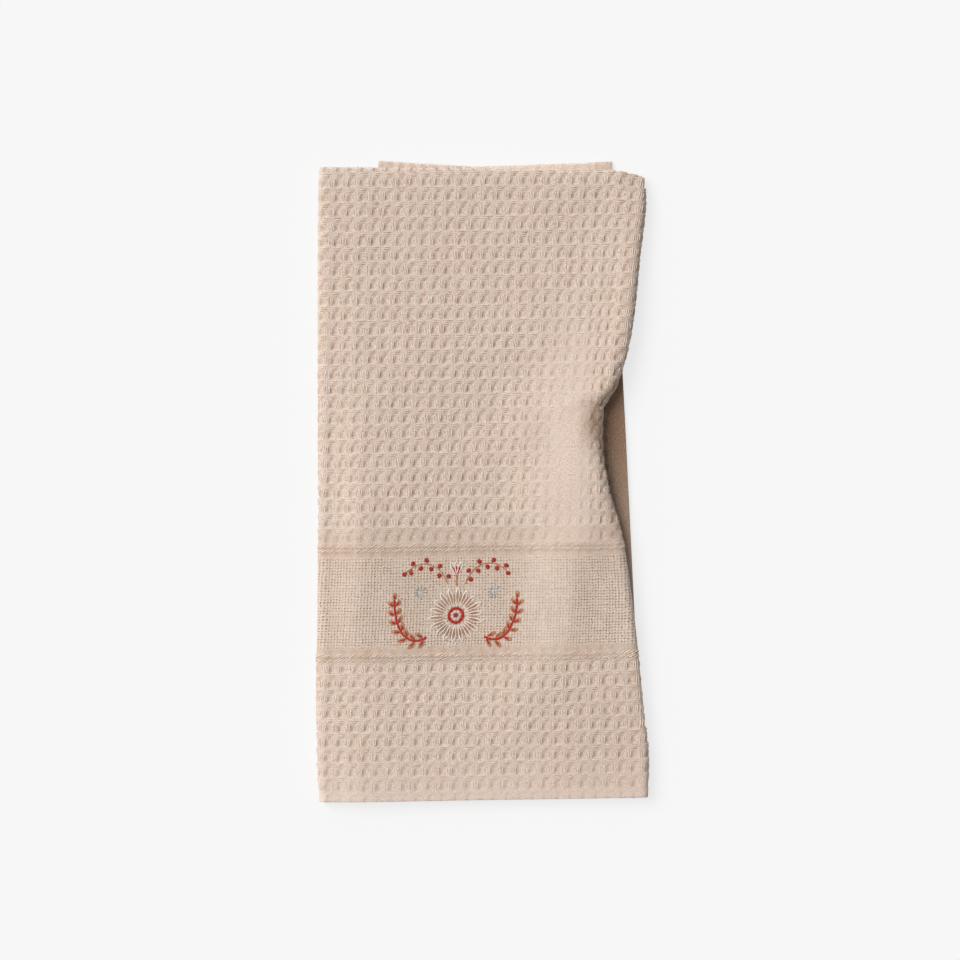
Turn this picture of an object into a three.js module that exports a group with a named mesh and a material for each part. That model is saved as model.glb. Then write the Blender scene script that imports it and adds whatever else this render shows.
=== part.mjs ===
// A waffle-woven cotton kitchen towel, folded in half end to end and then in thirds across, lying flat.
//
// Frame, in millimetres: +X to the right across the folded towel, +Y up along it towards the fold of
// the halves, +Z up from the surface that it lies on. The origin is under the middle of the towel.
//
// The cloth is one sheet. Halving it makes a pair of sheets, joined along the top by a small round bend,
// with both end hems at the bottom. The pair is then bent twice round upright folds:
//
//   inner flap (free edge inside) - right fold - front panel - left fold - outer flap (free edge)
//
// so the stack reads, from the top, front pair, inner flap pair, outer flap pair. The outer flap lies
// flat on the surface. The right fold is pushed in part of the way down, which lifts the front panel
// into a long ridge and bares a strip of the outer flap.

import * as THREE from 'three';

// --- Driving dimensions -------------------------------------------------------------------------

const CLOTH_LENGTH = 700;
const SHEET = 1.3;
const AIR = 0.5;

const HALF_LENGTH = CLOTH_LENGTH / 2;
const LAYER_PITCH = SHEET + AIR;
const PAIR_REACH = SHEET + AIR / 2;

// Heights of the middle of each pair where the pairs lie pressed together.
const OUTER_FLAP_Z = PAIR_REACH;
const INNER_FLAP_Z = OUTER_FLAP_Z + 2 * LAYER_PITCH;
const FRONT_Z = INNER_FLAP_Z + 2 * LAYER_PITCH;
const LEFT_BEND = (FRONT_Z - OUTER_FLAP_Z) / 2;

// How far up the top fold reaches at the two upright folds, and the hems down. The flaps lie a little
// turned, so their free corners reach higher than the folds.
const TOP_LEFT_Y = 174.3;
const TOP_RIGHT_Y = 172.2;
const HEM_LEFT_Y = -177.7;
const HEM_RIGHT_Y = -174.9;
const FREE_CORNER_Y = 178.2;

// The top right corner of the front panel is drawn down where both folds meet: by how much, over what
// share of the panel's width, and how far down the towel.
const CORNER_DROP = 2.7;
const CORNER_SPAN = 0.12;
const CORNER_DEPTH = 26;

// The inner flap sags towards the surface once it is past the outer flap's edge.
const OVERHANG_CLEARANCE = 1.5;
const OVERHANG_SLOPE = 0.28;
const OVERHANG_SAG = 3.2;

// Least distance between the crest of the ridge and the axis of the right fold.
const RIDGE_CLEARANCE = 2;

// One row for each level down the folded towel, measured from the top fold.
//   left, right: where the two upright folds reach to          bend: radius of the right fold
//   innerEdge, outerEdge: free edges of the two flaps
//   swell: lift of the front panel near its left side, at SWELL_AT
//   troughAt, trough: place and lift of the hollow in the middle of the front panel
//   ridgeAt, ridge: place and lift of the ridge on its right side
const LEVELS = [
  { down: 0, left: -91.0, right: 90.0, bend: 2.8, innerEdge: -58, outerEdge: 72.1,
    swell: 0.8, troughAt: 55, trough: 1.6, ridgeAt: 76, ridge: 1.0 },
  { down: 12, left: -91.3, right: 90.8, bend: 3.8, innerEdge: -58, outerEdge: 72.4,
    swell: 0.8, troughAt: 56, trough: 1.4, ridgeAt: 76, ridge: 1.4 },
  { down: 45, left: -91.5, right: 87.5, bend: 4.4, innerEdge: -57, outerEdge: 74.3,
    swell: 1.0, troughAt: 50, trough: 0.8, ridgeAt: 72, ridge: 2.4 },
  { down: 90, left: -91.6, right: 82.4, bend: 5.0, innerEdge: -56, outerEdge: 76.5,
    swell: 1.8, troughAt: 20, trough: 1.2, ridgeAt: 68, ridge: 4.9 },
  { down: 118, left: -91.6, right: 74.6, bend: 5.9, innerEdge: -55, outerEdge: 77.9,
    swell: 2.6, troughAt: 8, trough: 0.7, ridgeAt: 62, ridge: 7.4 },
  { down: 134, left: -91.6, right: 66.3, bend: 6.4, innerEdge: -55, outerEdge: 78.7,
    swell: 3.2, troughAt: 2, trough: 0.5, ridgeAt: 57.5, ridge: 8.8 },
  { down: 150, left: -91.6, right: 66.0, bend: 6.3, innerEdge: -54, outerEdge: 79.5,
    swell: 4.0, troughAt: 0, trough: 0.6, ridgeAt: 57, ridge: 8.4 },
  { down: 175, left: -91.6, right: 69.6, bend: 5.6, innerEdge: -54, outerEdge: 80.7,
    swell: 5.2, troughAt: 6, trough: 0.8, ridgeAt: 57, ridge: 7.4 },
  { down: 205, left: -91.6, right: 77.7, bend: 4.4, innerEdge: -53, outerEdge: 82.2,
    swell: 5.8, troughAt: 14, trough: 0.8, ridgeAt: 56, ridge: 6.4 },
  { down: 245, left: -91.9, right: 83.6, bend: 3.4, innerEdge: -52, outerEdge: 84.2,
    swell: 4.2, troughAt: 16, trough: 0.7, ridgeAt: 50, ridge: 4.4 },
  { down: 295, left: -92.6, right: 88.7, bend: 2.8, innerEdge: -50, outerEdge: 86.7,
    swell: 2.6, troughAt: -6, trough: 1.4, ridgeAt: 26, ridge: 2.2 },
  { down: 330, left: -92.2, right: 92.3, bend: 2.5, innerEdge: -48, outerEdge: 88.4,
    swell: 2.4, troughAt: -4, trough: 1.0, ridgeAt: 20, ridge: 1.0 },
  { down: 350, left: -91.0, right: 91.8, bend: 2.4, innerEdge: -48, outerEdge: 89.4,
    swell: 2.2, troughAt: -4, trough: 0.7, ridgeAt: 20, ridge: 0.5 },
];
const SWELL_AT = -66;

// --- Fineness of the facets ---------------------------------------------------------------------

const LEVEL_STEPS = 26;
const TOP_BEND_STEPS = 4;
const INNER_FLAP_STEPS = 4;
const OVERHANG_STEPS = 2;
const RIGHT_BEND_STEPS = 7;
const FRONT_STEPS = 14;
const LEFT_BEND_STEPS = 6;
const OUTER_FLAP_STEPS = 4;
const SLOPE_STEP = 0.5;

// --- Small helpers ------------------------------------------------------------------------------

const mix = (from, to, share) => from + (to - from) * share;

function smoothStep(value) {
  const share = Math.min(1, Math.max(0, value));
  return share * share * (3 - 2 * share);
}

// Slopes of a smooth curve through the points, level at each end and at each crest and hollow, so that
// it never overshoots between two points.
function gentleSlopes(places, heights) {
  const last = places.length - 1;
  const slopes = [0];
  for (let k = 1; k < last; k += 1) {
    const before = (heights[k] - heights[k - 1]) / (places[k] - places[k - 1]);
    const after = (heights[k + 1] - heights[k]) / (places[k + 1] - places[k]);
    slopes.push(before * after <= 0 ? 0 : (2 * before * after) / (before + after));
  }
  slopes.push(0);
  return slopes;
}

// Height of that curve at one place, held level past its two ends.
function gentleCurve(places, heights, place) {
  const slopes = gentleSlopes(places, heights);
  const last = places.length - 1;
  const at = Math.min(places[last], Math.max(places[0], place));
  let k = 0;
  while (k < last - 1 && at > places[k + 1]) {
    k += 1;
  }
  const span = places[k + 1] - places[k];
  const gone = (at - places[k]) / span;
  const left = 1 - gone;
  const fromStart = left * left * (heights[k] * (1 + 2 * gone) + slopes[k] * span * gone);
  const fromEnd = gone * gone * (heights[k + 1] * (1 + 2 * left) - slopes[k + 1] * span * left);
  return fromStart + fromEnd;
}

// The table's columns, worked out at any distance down from the top fold.
function levelAt(down) {
  const downs = LEVELS.map((row) => row.down);
  const level = {};
  for (const column of Object.keys(LEVELS[0])) {
    level[column] = gentleCurve(downs, LEVELS.map((row) => row[column]), down);
  }
  level.down = down;
  return level;
}

// --- The middle surface of the folded pair ------------------------------------------------------

// Height of the inner flap's middle: level on the outer flap, and sagging past its edge.
function innerFlapZ(level, x) {
  const past = Math.max(0, x - level.outerEdge - OVERHANG_CLEARANCE);
  return INNER_FLAP_Z - Math.min(OVERHANG_SAG, past * OVERHANG_SLOPE);
}

// Y of the front panel at one level, from the left fold to the right one.
function frontY(level, x) {
  const share = (x - level.left) / (level.right - level.left);
  const inCorner = smoothStep(1 - (1 - share) / CORNER_SPAN);
  const drop = CORNER_DROP * inCorner * (1 - smoothStep(level.down / CORNER_DEPTH));
  const top = mix(TOP_LEFT_Y, TOP_RIGHT_Y, share) - PAIR_REACH - drop;
  return mix(top, mix(HEM_LEFT_Y, HEM_RIGHT_Y, share), level.down / HALF_LENGTH);
}

// Y of a flap at one level, from the fold that it hangs on to its free edge.
function flapY(level, foldY, share) {
  return mix(foldY, FREE_CORNER_Y - PAIR_REACH - level.down, share);
}

// The curve of the front panel's height, through the left fold, swell, hollow, ridge and right fold.
function frontZ(level, leftAxis, rightAxis, foldTop, x) {
  const ridgeAt = Math.min(level.ridgeAt, rightAxis - RIDGE_CLEARANCE);
  const places = [leftAxis, SWELL_AT, level.troughAt, ridgeAt, rightAxis];
  const lifts = [0, level.swell, level.trough, level.ridge, foldTop - FRONT_Z];
  return FRONT_Z + gentleCurve(places, lifts, x);
}

// The pair's middle right across the towel at one level, as a list of points: from the inner flap's
// free edge round the right fold, over the front panel, round the left fold and along the outer flap.
// Each point has the direction in which the cloth runs on through it.
function crossSection(down) {
  const level = levelAt(down);
  const rightAxis = level.right - level.bend - PAIR_REACH;
  const leftAxis = level.left + LEFT_BEND + PAIR_REACH;
  const rightY = frontY(level, level.right);
  const leftY = frontY(level, level.left);
  const section = [];
  const addAlong = (x, side, yOf, zOf) => {
    const place = new THREE.Vector3(x, yOf(x), zOf(x));
    const next = x + side * SLOPE_STEP;
    const run = new THREE.Vector3(next, yOf(next), zOf(next)).sub(place).normalize();
    section.push({ place, run });
  };
  const addRound = (x, y, z, radius, angle) => {
    const place = new THREE.Vector3(x + radius * Math.cos(angle), y, z + radius * Math.sin(angle));
    section.push({ place, run: new THREE.Vector3(-Math.sin(angle), 0, Math.cos(angle)) });
  };

  const hingeAt = Math.min(level.outerEdge + OVERHANG_CLEARANCE, rightAxis - RIDGE_CLEARANCE);
  const innerY = (x) => flapY(level, rightY, (rightAxis - x) / (rightAxis - level.innerEdge));
  const innerZ = (x) => innerFlapZ(level, x);
  for (let k = 0; k < INNER_FLAP_STEPS; k += 1) {
    addAlong(mix(level.innerEdge, hingeAt, k / INNER_FLAP_STEPS), -1, innerY, innerZ);
    section.at(-1).run.negate();
  }
  for (let k = 0; k < OVERHANG_STEPS; k += 1) {
    addAlong(mix(hingeAt, rightAxis, k / OVERHANG_STEPS), 1, innerY, innerZ);
  }

  const foldFoot = innerFlapZ(level, rightAxis);
  for (let k = 0; k < RIGHT_BEND_STEPS; k += 1) {
    const angle = Math.PI * (k / RIGHT_BEND_STEPS - 0.5);
    addRound(rightAxis, rightY, foldFoot + level.bend, level.bend, angle);
  }

  const foldTop = foldFoot + 2 * level.bend;
  const panelY = (x) => frontY(level, x);
  const panelZ = (x) => frontZ(level, leftAxis, rightAxis, foldTop, x);
  for (let k = 0; k < FRONT_STEPS; k += 1) {
    addAlong(mix(rightAxis, leftAxis, k / FRONT_STEPS), -1, panelY, panelZ);
  }

  for (let k = 0; k < LEFT_BEND_STEPS; k += 1) {
    const angle = Math.PI * (0.5 + k / LEFT_BEND_STEPS);
    addRound(leftAxis, leftY, OUTER_FLAP_Z + LEFT_BEND, LEFT_BEND, angle);
  }

  const outerY = (x) => flapY(level, leftY, ((x - leftAxis) / (level.outerEdge - leftAxis)) ** 2);
  for (let k = 0; k <= OUTER_FLAP_STEPS; k += 1) {
    addAlong(mix(leftAxis, level.outerEdge, k / OUTER_FLAP_STEPS), 1, outerY, () => OUTER_FLAP_Z);
  }
  return section;
}

// --- The sheet ----------------------------------------------------------------------------------

// The way that one sheet takes through the pair, from the front hem up over the top bend and down to
// the back hem. Each stop has its distance down, its height over the pair's middle, its rise past the
// top of the middle, and the direction that its outer face looks in, as over and rise.
function sheetRoute() {
  const route = [];
  const radius = LAYER_PITCH / 2;
  for (let k = 0; k < LEVEL_STEPS; k += 1) {
    route.push({ down: HALF_LENGTH * (1 - k / LEVEL_STEPS), over: radius, rise: 0, outOver: 1, outRise: 0 });
  }
  for (let k = 0; k <= TOP_BEND_STEPS; k += 1) {
    const angle = (Math.PI * k) / TOP_BEND_STEPS;
    const outOver = Math.cos(angle);
    const outRise = Math.sin(angle);
    route.push({ down: 0, over: radius * outOver, rise: radius * outRise, outOver, outRise });
  }
  for (let k = 1; k <= LEVEL_STEPS; k += 1) {
    route.push({ down: HALF_LENGTH * (k / LEVEL_STEPS), over: -radius, rise: 0, outOver: -1, outRise: 0 });
  }
  return route;
}

// The middle surface at one level with, at each point, the direction over it and the direction up it.
function sectionFrames(down) {
  const above = crossSection(down - SLOPE_STEP);
  const below = crossSection(down + SLOPE_STEP);
  return crossSection(down).map(({ place, run }, k) => {
    const fall = below[k].place.clone().sub(above[k].place).normalize();
    const over = run.clone().cross(fall).normalize();
    const up = over.clone().cross(run).normalize();
    return { place, over, up: up.dot(fall) > 0 ? up.negate() : up };
  });
}

// One face of the sheet as rows of points, shifted from the sheet's middle towards its outer face.
function sheetFace(shift) {
  return sheetRoute().map((stop) => sectionFrames(stop.down).map(({ place, over, up }) => {
    const point = place.clone();
    point.addScaledVector(over, stop.over + shift * stop.outOver);
    point.addScaledVector(up, stop.rise + shift * stop.outRise);
    return point;
  }));
}

// The corners of one cell of a face's grid, as rows and columns, in turn round it.
function cellCorners(row, column) {
  return [[row, column], [row + 1, column], [row + 1, column + 1], [row, column + 1]];
}

// The same corners started one later, so that the cell is split along its other diagonal. The two
// halves of the cloth face each other, and are split along matching diagonals.
function turned(corners) {
  return [...corners.slice(1), corners[0]];
}

// Joins the two faces and the four edges between them into one closed, indexed mesh.
function closedSheet() {
  const outer = sheetFace(SHEET / 2);
  const inner = sheetFace(-SHEET / 2);
  const rows = outer.length;
  const columns = outer[0].length;
  const positions = [...outer.flat(), ...inner.flat()].flatMap((point) => point.toArray());
  const outerAt = (row, column) => row * columns + column;
  const innerAt = (row, column) => (rows + row) * columns + column;
  const triangles = [];
  const addQuad = (a, b, c, d) => triangles.push(a, b, c, a, c, d);
  for (let row = 0; row < rows - 1; row += 1) {
    for (let column = 0; column < columns - 1; column += 1) {
      const outerCorners = cellCorners(row, column).map(([r, c]) => outerAt(r, c));
      const innerCorners = cellCorners(row, column).map(([r, c]) => innerAt(r, c));
      addQuad(...(row < rows / 2 ? outerCorners : turned(outerCorners)));
      addQuad(...(row < rows / 2 ? innerCorners : turned(innerCorners)).reverse());
    }
  }
  const lastRow = rows - 1;
  const lastColumn = columns - 1;
  for (let column = 0; column < lastColumn; column += 1) {
    const next = column + 1;
    addQuad(outerAt(0, column), outerAt(0, next), innerAt(0, next), innerAt(0, column));
    addQuad(outerAt(lastRow, next), outerAt(lastRow, column), innerAt(lastRow, column),
      innerAt(lastRow, next));
  }
  for (let row = 0; row < lastRow; row += 1) {
    const next = row + 1;
    addQuad(outerAt(next, 0), outerAt(row, 0), innerAt(row, 0), innerAt(next, 0));
    addQuad(outerAt(row, lastColumn), outerAt(next, lastColumn), innerAt(next, lastColumn),
      innerAt(row, lastColumn));
  }
  const geometry = new THREE.BufferGeometry();
  geometry.setAttribute('position', new THREE.Float32BufferAttribute(positions, 3));
  geometry.setIndex(triangles);
  geometry.computeVertexNormals();
  return geometry;
}

// --- The towel ----------------------------------------------------------------------------------

// The cloth, moved so that the middle of its box is over the origin and it lies on the surface.
function buildTowel() {
  const geometry = closedSheet();
  geometry.computeBoundingBox();
  const { min, max } = geometry.boundingBox;
  geometry.translate(-(min.x + max.x) / 2, -(min.y + max.y) / 2, -min.z);
  const cotton = new THREE.MeshStandardMaterial({ color: 0xd0bcab, roughness: 0.95, metalness: 0 });
  const towel = new THREE.Mesh(geometry, cotton);
  towel.name = 'towel';
  return towel;
}

const kitchenTowel = new THREE.Group();
kitchenTowel.add(buildTowel());

export default kitchenTowel;
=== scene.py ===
"""A waffle-woven kitchen towel, folded and lying flat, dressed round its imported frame."""

import logging
import math
from dataclasses import dataclass, field
from enum import Enum
from typing import Any, Iterable, NamedTuple, Optional

import bpy
import numpy as np
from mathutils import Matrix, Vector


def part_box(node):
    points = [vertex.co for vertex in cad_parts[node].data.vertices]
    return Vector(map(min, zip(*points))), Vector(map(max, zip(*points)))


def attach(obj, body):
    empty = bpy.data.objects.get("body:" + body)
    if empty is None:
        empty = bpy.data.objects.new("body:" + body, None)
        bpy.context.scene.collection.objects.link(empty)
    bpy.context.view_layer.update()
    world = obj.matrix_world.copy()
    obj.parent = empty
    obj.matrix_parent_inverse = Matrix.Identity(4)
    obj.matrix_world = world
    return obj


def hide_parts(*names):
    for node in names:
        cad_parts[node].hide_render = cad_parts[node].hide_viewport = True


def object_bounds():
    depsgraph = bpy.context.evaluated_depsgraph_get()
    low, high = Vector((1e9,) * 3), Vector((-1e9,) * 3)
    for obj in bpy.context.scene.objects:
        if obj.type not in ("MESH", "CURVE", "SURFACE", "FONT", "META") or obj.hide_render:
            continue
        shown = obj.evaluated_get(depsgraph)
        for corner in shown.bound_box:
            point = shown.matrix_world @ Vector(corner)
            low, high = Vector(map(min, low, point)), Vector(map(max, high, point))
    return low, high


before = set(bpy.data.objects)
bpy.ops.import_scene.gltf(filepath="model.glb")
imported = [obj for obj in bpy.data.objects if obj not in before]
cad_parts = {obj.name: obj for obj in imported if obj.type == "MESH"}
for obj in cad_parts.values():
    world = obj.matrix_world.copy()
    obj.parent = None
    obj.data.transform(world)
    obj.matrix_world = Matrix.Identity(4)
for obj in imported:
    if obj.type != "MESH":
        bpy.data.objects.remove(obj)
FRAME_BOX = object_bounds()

LOG = logging.getLogger("kitchen_towel")
MM = 0.001
BODY = "root"
CLOTH_NODE = "towel"
BAKE_MAP = "OFBake"
SEED = 7
Colour = tuple[float, ...]


# --- Node trees ---------------------------------------------------------------------------------


class Signal:
    """The value of a node socket, on which plain arithmetic adds Math nodes to the tree."""

    def __init__(self, graph: "Graph", socket: bpy.types.NodeSocket) -> None:
        """Keeps the socket and the graph that it is part of."""
        self.graph = graph
        self.socket = socket

    def _math(self, operation: str, *values: Any) -> "Signal":
        """Returns the output of one new Math node, fed with the values."""
        node = self.graph.add("ShaderNodeMath", dict(enumerate(values)), operation=operation)
        return Signal(self.graph, node.outputs[0])

    def __add__(self, other: Any) -> "Signal":
        """Returns the sum."""
        return self._math("ADD", self, other)

    def __sub__(self, other: Any) -> "Signal":
        """Returns the difference."""
        return self._math("SUBTRACT", self, other)

    def __rsub__(self, other: Any) -> "Signal":
        """Returns a number less this signal."""
        return self._math("SUBTRACT", other, self)

    def __mul__(self, other: Any) -> "Signal":
        """Returns the product."""
        return self._math("MULTIPLY", self, other)

    def __truediv__(self, other: Any) -> "Signal":
        """Returns the quotient."""
        return self._math("DIVIDE", self, other)

    __radd__ = __add__
    __rmul__ = __mul__

    def fraction(self) -> "Signal":
        """Returns the part after the decimal point, from 0 to 1."""
        return self._math("FRACT", self)

    def whole(self) -> "Signal":
        """Returns the whole number below."""
        return self._math("FLOOR", self)

    def size(self) -> "Signal":
        """Returns the value without its sign."""
        return self._math("ABSOLUTE", self)

    def wave(self) -> "Signal":
        """Returns the sine, with one turn for each whole number."""
        return self._math("SINE", self * math.tau)

    def above(self, level: float) -> "Signal":
        """Returns 1 where the value is above a level, and 0 elsewhere."""
        return self._math("GREATER_THAN", self, level)

    def larger(self, other: Any) -> "Signal":
        """Returns the larger of two values."""
        return self._math("MAXIMUM", self, other)

    def smaller(self, other: Any) -> "Signal":
        """Returns the smaller of two values."""
        return self._math("MINIMUM", self, other)

    def ramp(self, low: float, high: float, start: float = 0.0, end: float = 1.0) -> "Signal":
        """Eases from one value to another.

        Args:
            low: Where the ramp starts.
            high: Where the ramp ends.
            start: The result below it.
            end: The result above it.

        Returns:
            The eased value.
        """
        inputs = {"Value": self, "From Min": low, "From Max": high, "To Min": start, "To Max": end}
        node = self.graph.add("ShaderNodeMapRange", inputs, interpolation_type="SMOOTHSTEP")
        return Signal(self.graph, node.outputs[0])


class Graph:
    """A node tree that is being written."""

    def __init__(self, tree: bpy.types.NodeTree) -> None:
        """Keeps the tree."""
        self.tree = tree

    def add(self, kind: str, inputs: Optional[dict[Any, Any]] = None, **settings: Any) -> bpy.types.Node:
        """Adds a node.

        Args:
            kind: Blender's name of the node type.
            inputs: What goes into its sockets, by name or number, as signals, sockets or values.
            settings: The node's own properties.

        Returns:
            The new node.
        """
        node = self.tree.nodes.new(kind)
        for name, value in settings.items():
            setattr(node, name, value)
        for name, value in (inputs or {}).items():
            self.feed(node.inputs[name], value)
        return node

    def feed(self, socket: bpy.types.NodeSocket, value: Any) -> None:
        """Gives an input its value.

        Args:
            socket: The input.
            value: A signal or a socket to link, or a plain value.
        """
        if isinstance(value, Signal):
            value = value.socket
        if isinstance(value, bpy.types.NodeSocket):
            self.tree.links.new(value, socket)
        else:
            socket.default_value = value

    def vector(self, x: Any, y: Any, z: Any = 0.0) -> Signal:
        """Returns a vector of three values."""
        return Signal(self, self.add("ShaderNodeCombineXYZ", {"X": x, "Y": y, "Z": z}).outputs[0])

    def parts(self, vector: Any) -> tuple[Signal, Signal, Signal]:
        """Returns the three values of a vector."""
        node = self.add("ShaderNodeSeparateXYZ", {0: vector})
        return tuple(Signal(self, socket) for socket in node.outputs)

    def noise(self, at: Any, scale: float, detail: float = 2.0, roughness: float = 0.5) -> Signal:
        """Returns smooth noise from 0 to 1, with so many lumps for each unit of length."""
        inputs = {"Vector": at, "Scale": scale, "Detail": detail, "Roughness": roughness}
        return Signal(self, self.add("ShaderNodeTexNoise", inputs).outputs[0])

    def dice(self, at: Any) -> Signal:
        """Returns a random number from 0 to 1 for each place."""
        return Signal(self, self.add("ShaderNodeTexWhiteNoise", {"Vector": at}).outputs[0])


class ShadeGraph(Graph):
    """The node tree of a material."""

    def __init__(self, material: bpy.types.Material) -> None:
        """Turns the material's nodes on and keeps its shader.

        Args:
            material: The material to dress.
        """
        material.use_nodes = True
        super().__init__(material.node_tree)
        self.shader = self.tree.nodes["Principled BSDF"]

    def attribute(self, name: str) -> Signal:
        """Returns a float attribute of the mesh."""
        return Signal(self, self.add("ShaderNodeAttribute", attribute_name=name).outputs["Fac"])

    def colour(self, share: Any, first: Any, second: Any, blend: str = "MIX") -> Signal:
        """Mixes two colours.

        Args:
            share: How much of the second there is.
            first: The first colour.
            second: The second colour.
            blend: Blender's name of the way of mixing.

        Returns:
            The mixed colour.
        """
        node = self.add("ShaderNodeMix", data_type="RGBA", blend_type=blend)
        for slot, value in ((0, share), (6, first), (7, second)):
            self.feed(node.inputs[slot], value)
        return Signal(self, node.outputs[2])

    def bump(self, height: Signal, distance: float, below: Optional[Signal] = None) -> Signal:
        """Turns a height from 0 to 1 into a bumped normal.

        Args:
            height: The height.
            distance: The depth that 1 stands for, in metres.
            below: A bumped normal to add it to.

        Returns:
            The normal.
        """
        inputs: dict[Any, Any] = {"Height": height, "Distance": distance, "Strength": 1.0}
        if below is not None:
            inputs["Normal"] = below
        return Signal(self, self.add("ShaderNodeBump", inputs).outputs[0])


@dataclass(frozen=True)
class Spot:
    """The place on the cloth, in millimetres across and down, as signals of one node tree."""

    graph: Any
    across: Signal
    down: Signal

    @classmethod
    def of(cls, graph: Any) -> "Spot":
        """Reads the place from the geometry's own attributes."""
        return cls(graph, graph.attribute("across"), graph.attribute("down"))

    def noise(self, right: float, below: float, layer: float = 0.0, detail: float = 2.0,
              roughness: float = 0.5) -> Signal:
        """Returns smooth noise from 0 to 1, with so many lumps in a millimetre right and below."""
        at = self.graph.vector(self.across * right, self.down * below, layer)
        return self.graph.noise(at, 1.0, detail, roughness)


class ShapeGraph(Graph):
    """A geometry node tree with named inputs, which ends in realized instances and one material."""

    def __init__(self, name: str, **inputs: float) -> None:
        """Makes the tree with its sockets.

        Args:
            name: The tree's name.
            inputs: The start value of each named number, with _ for a space in its name.
        """
        super().__init__(bpy.data.node_groups.new(name, "GeometryNodeTree"))
        face = self.tree.interface
        face.new_socket("Geometry", in_out="INPUT", socket_type="NodeSocketGeometry")
        face.new_socket("Material", in_out="INPUT", socket_type="NodeSocketMaterial")
        for label, value in inputs.items():
            kind = "NodeSocketInt" if isinstance(value, int) else "NodeSocketFloat"
            face.new_socket(label.replace("_", " "), in_out="INPUT", socket_type=kind).default_value = value
        face.new_socket("Geometry", in_out="OUTPUT", socket_type="NodeSocketGeometry")
        self.entry = self.add("NodeGroupInput")

    def given(self, label: str) -> Signal:
        """Returns one of the tree's own inputs."""
        return Signal(self, self.entry.outputs[label])

    def attribute(self, name: str, kind: str = "FLOAT") -> Signal:
        """Returns a named attribute of the geometry."""
        node = self.add("GeometryNodeInputNamedAttribute", {"Name": name}, data_type=kind)
        return Signal(self, node.outputs["Attribute"])

    def store(self, geometry: Any, name: str, value: Signal) -> Any:
        """Stores a float attribute on the points and returns the geometry."""
        inputs = {"Geometry": geometry, "Name": name, "Value": value}
        return self.add("GeometryNodeStoreNamedAttribute", inputs, domain="POINT").outputs[0]

    def moved(self, way: Any, by: Signal) -> bpy.types.NodeSocket:
        """Returns the given geometry with its points moved along a direction."""
        offset = self.add("ShaderNodeVectorMath", {0: way, "Scale": by}, operation="SCALE").outputs[0]
        return self.add("GeometryNodeSetPosition",
                        {"Geometry": self.given("Geometry"), "Offset": offset}).outputs[0]

    def finish(self, geometry: Any) -> bpy.types.NodeTree:
        """Ends the tree.

        Args:
            geometry: The last geometry socket.

        Returns:
            The finished tree.
        """
        smooth = self.add("GeometryNodeSetShadeSmooth", {"Geometry": geometry}).outputs[0]
        real = self.add("GeometryNodeRealizeInstances", {"Geometry": smooth}).outputs[0]
        dressed = self.add("GeometryNodeSetMaterial", {"Geometry": real, "Material": self.given("Material")})
        self.add("NodeGroupOutput", {"Geometry": dressed.outputs[0]})
        return self.tree


def set_inputs(modifier: bpy.types.NodesModifier, values: dict[str, Any]) -> None:
    """Sets the named inputs of a geometry nodes modifier, each by its socket's identifier.

    Args:
        modifier: The modifier.
        values: The value of each input, by its name.
    """
    for item in modifier.node_group.interface.items_tree:
        if item.item_type == "SOCKET" and item.in_out == "INPUT" and item.name in values:
            modifier[item.identifier] = values[item.name]


def make_piece(name: str, base: bpy.types.Mesh, tree: bpy.types.NodeTree, **values: Any) -> bpy.types.Object:
    """Runs a geometry node tree on a mesh and keeps the result as a plain mesh object.

    Args:
        name: The piece's name.
        base: The mesh that the tree starts from.
        tree: The geometry node tree.
        values: The tree's inputs by name, with _ for a space.

    Returns:
        The piece, at the origin and with no modifier.
    """
    piece = bpy.data.objects.new(name, base)
    bpy.context.scene.collection.objects.link(piece)
    modifier = piece.modifiers.new("build", "NODES")
    modifier.node_group = tree
    set_inputs(modifier, {label.replace("_", " "): value for label, value in values.items()})
    graph = bpy.context.evaluated_depsgraph_get()
    built = bpy.data.meshes.new_from_object(
        piece.evaluated_get(graph), preserve_all_data_layers=True, depsgraph=graph
    )
    piece.modifiers.remove(modifier)
    piece.data = built
    built.name = name
    return piece


# --- Curves and folds ---------------------------------------------------------------------------


def gentle_curve(places: np.ndarray, heights: np.ndarray, at: np.ndarray) -> np.ndarray:
    """A smooth curve through points, level at its ends, crests and hollows, and held level past its ends.

    Args:
        places: Where the points are, rising.
        heights: The value at each.
        at: Where the curve is wanted.

    Returns:
        The values there.
    """
    spans = np.diff(places)
    grades = np.diff(heights) / spans
    before, after = grades[:-1], grades[1:]
    climbs = before * after > 0
    shared = 2 * before * after / np.where(climbs, before + after, 1.0)
    slopes = np.concatenate([[0.0], np.where(climbs, shared, 0.0), [0.0]])
    held = np.clip(at, places[0], places[-1])
    k = np.clip(np.searchsorted(places, held, side="right") - 1, 0, len(spans) - 1)
    gone = (held - places[k]) / spans[k]
    left = 1 - gone
    start = left**2 * (heights[k] * (1 + 2 * gone) + slopes[k] * spans[k] * gone)
    end = gone**2 * (heights[k + 1] * (1 + 2 * left) - slopes[k + 1] * spans[k] * left)
    return start + end


def ease(value: np.ndarray, low: float, high: float) -> np.ndarray:
    """Returns a smooth step from 0 at low to 1 at high."""
    share = np.clip((value - low) / (high - low), 0, 1)
    return share * share * (3 - 2 * share)


def mix(first: Any, second: Any, share: Any) -> Any:
    """Returns the value that is a share of the way from the first to the second."""
    return first + (second - first) * share


def unit(vectors: np.ndarray) -> np.ndarray:
    """Returns the vectors at length 1."""
    return vectors / np.linalg.norm(vectors, axis=-1, keepdims=True)


def heading(turn: float) -> np.ndarray:
    """Returns the direction at an angle, anticlockwise from the right."""
    return np.array([math.cos(turn), math.sin(turn)])


def left_of(way: np.ndarray) -> np.ndarray:
    """Returns a direction turned a quarter to the left."""
    return np.array([-way[1], way[0]])


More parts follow.
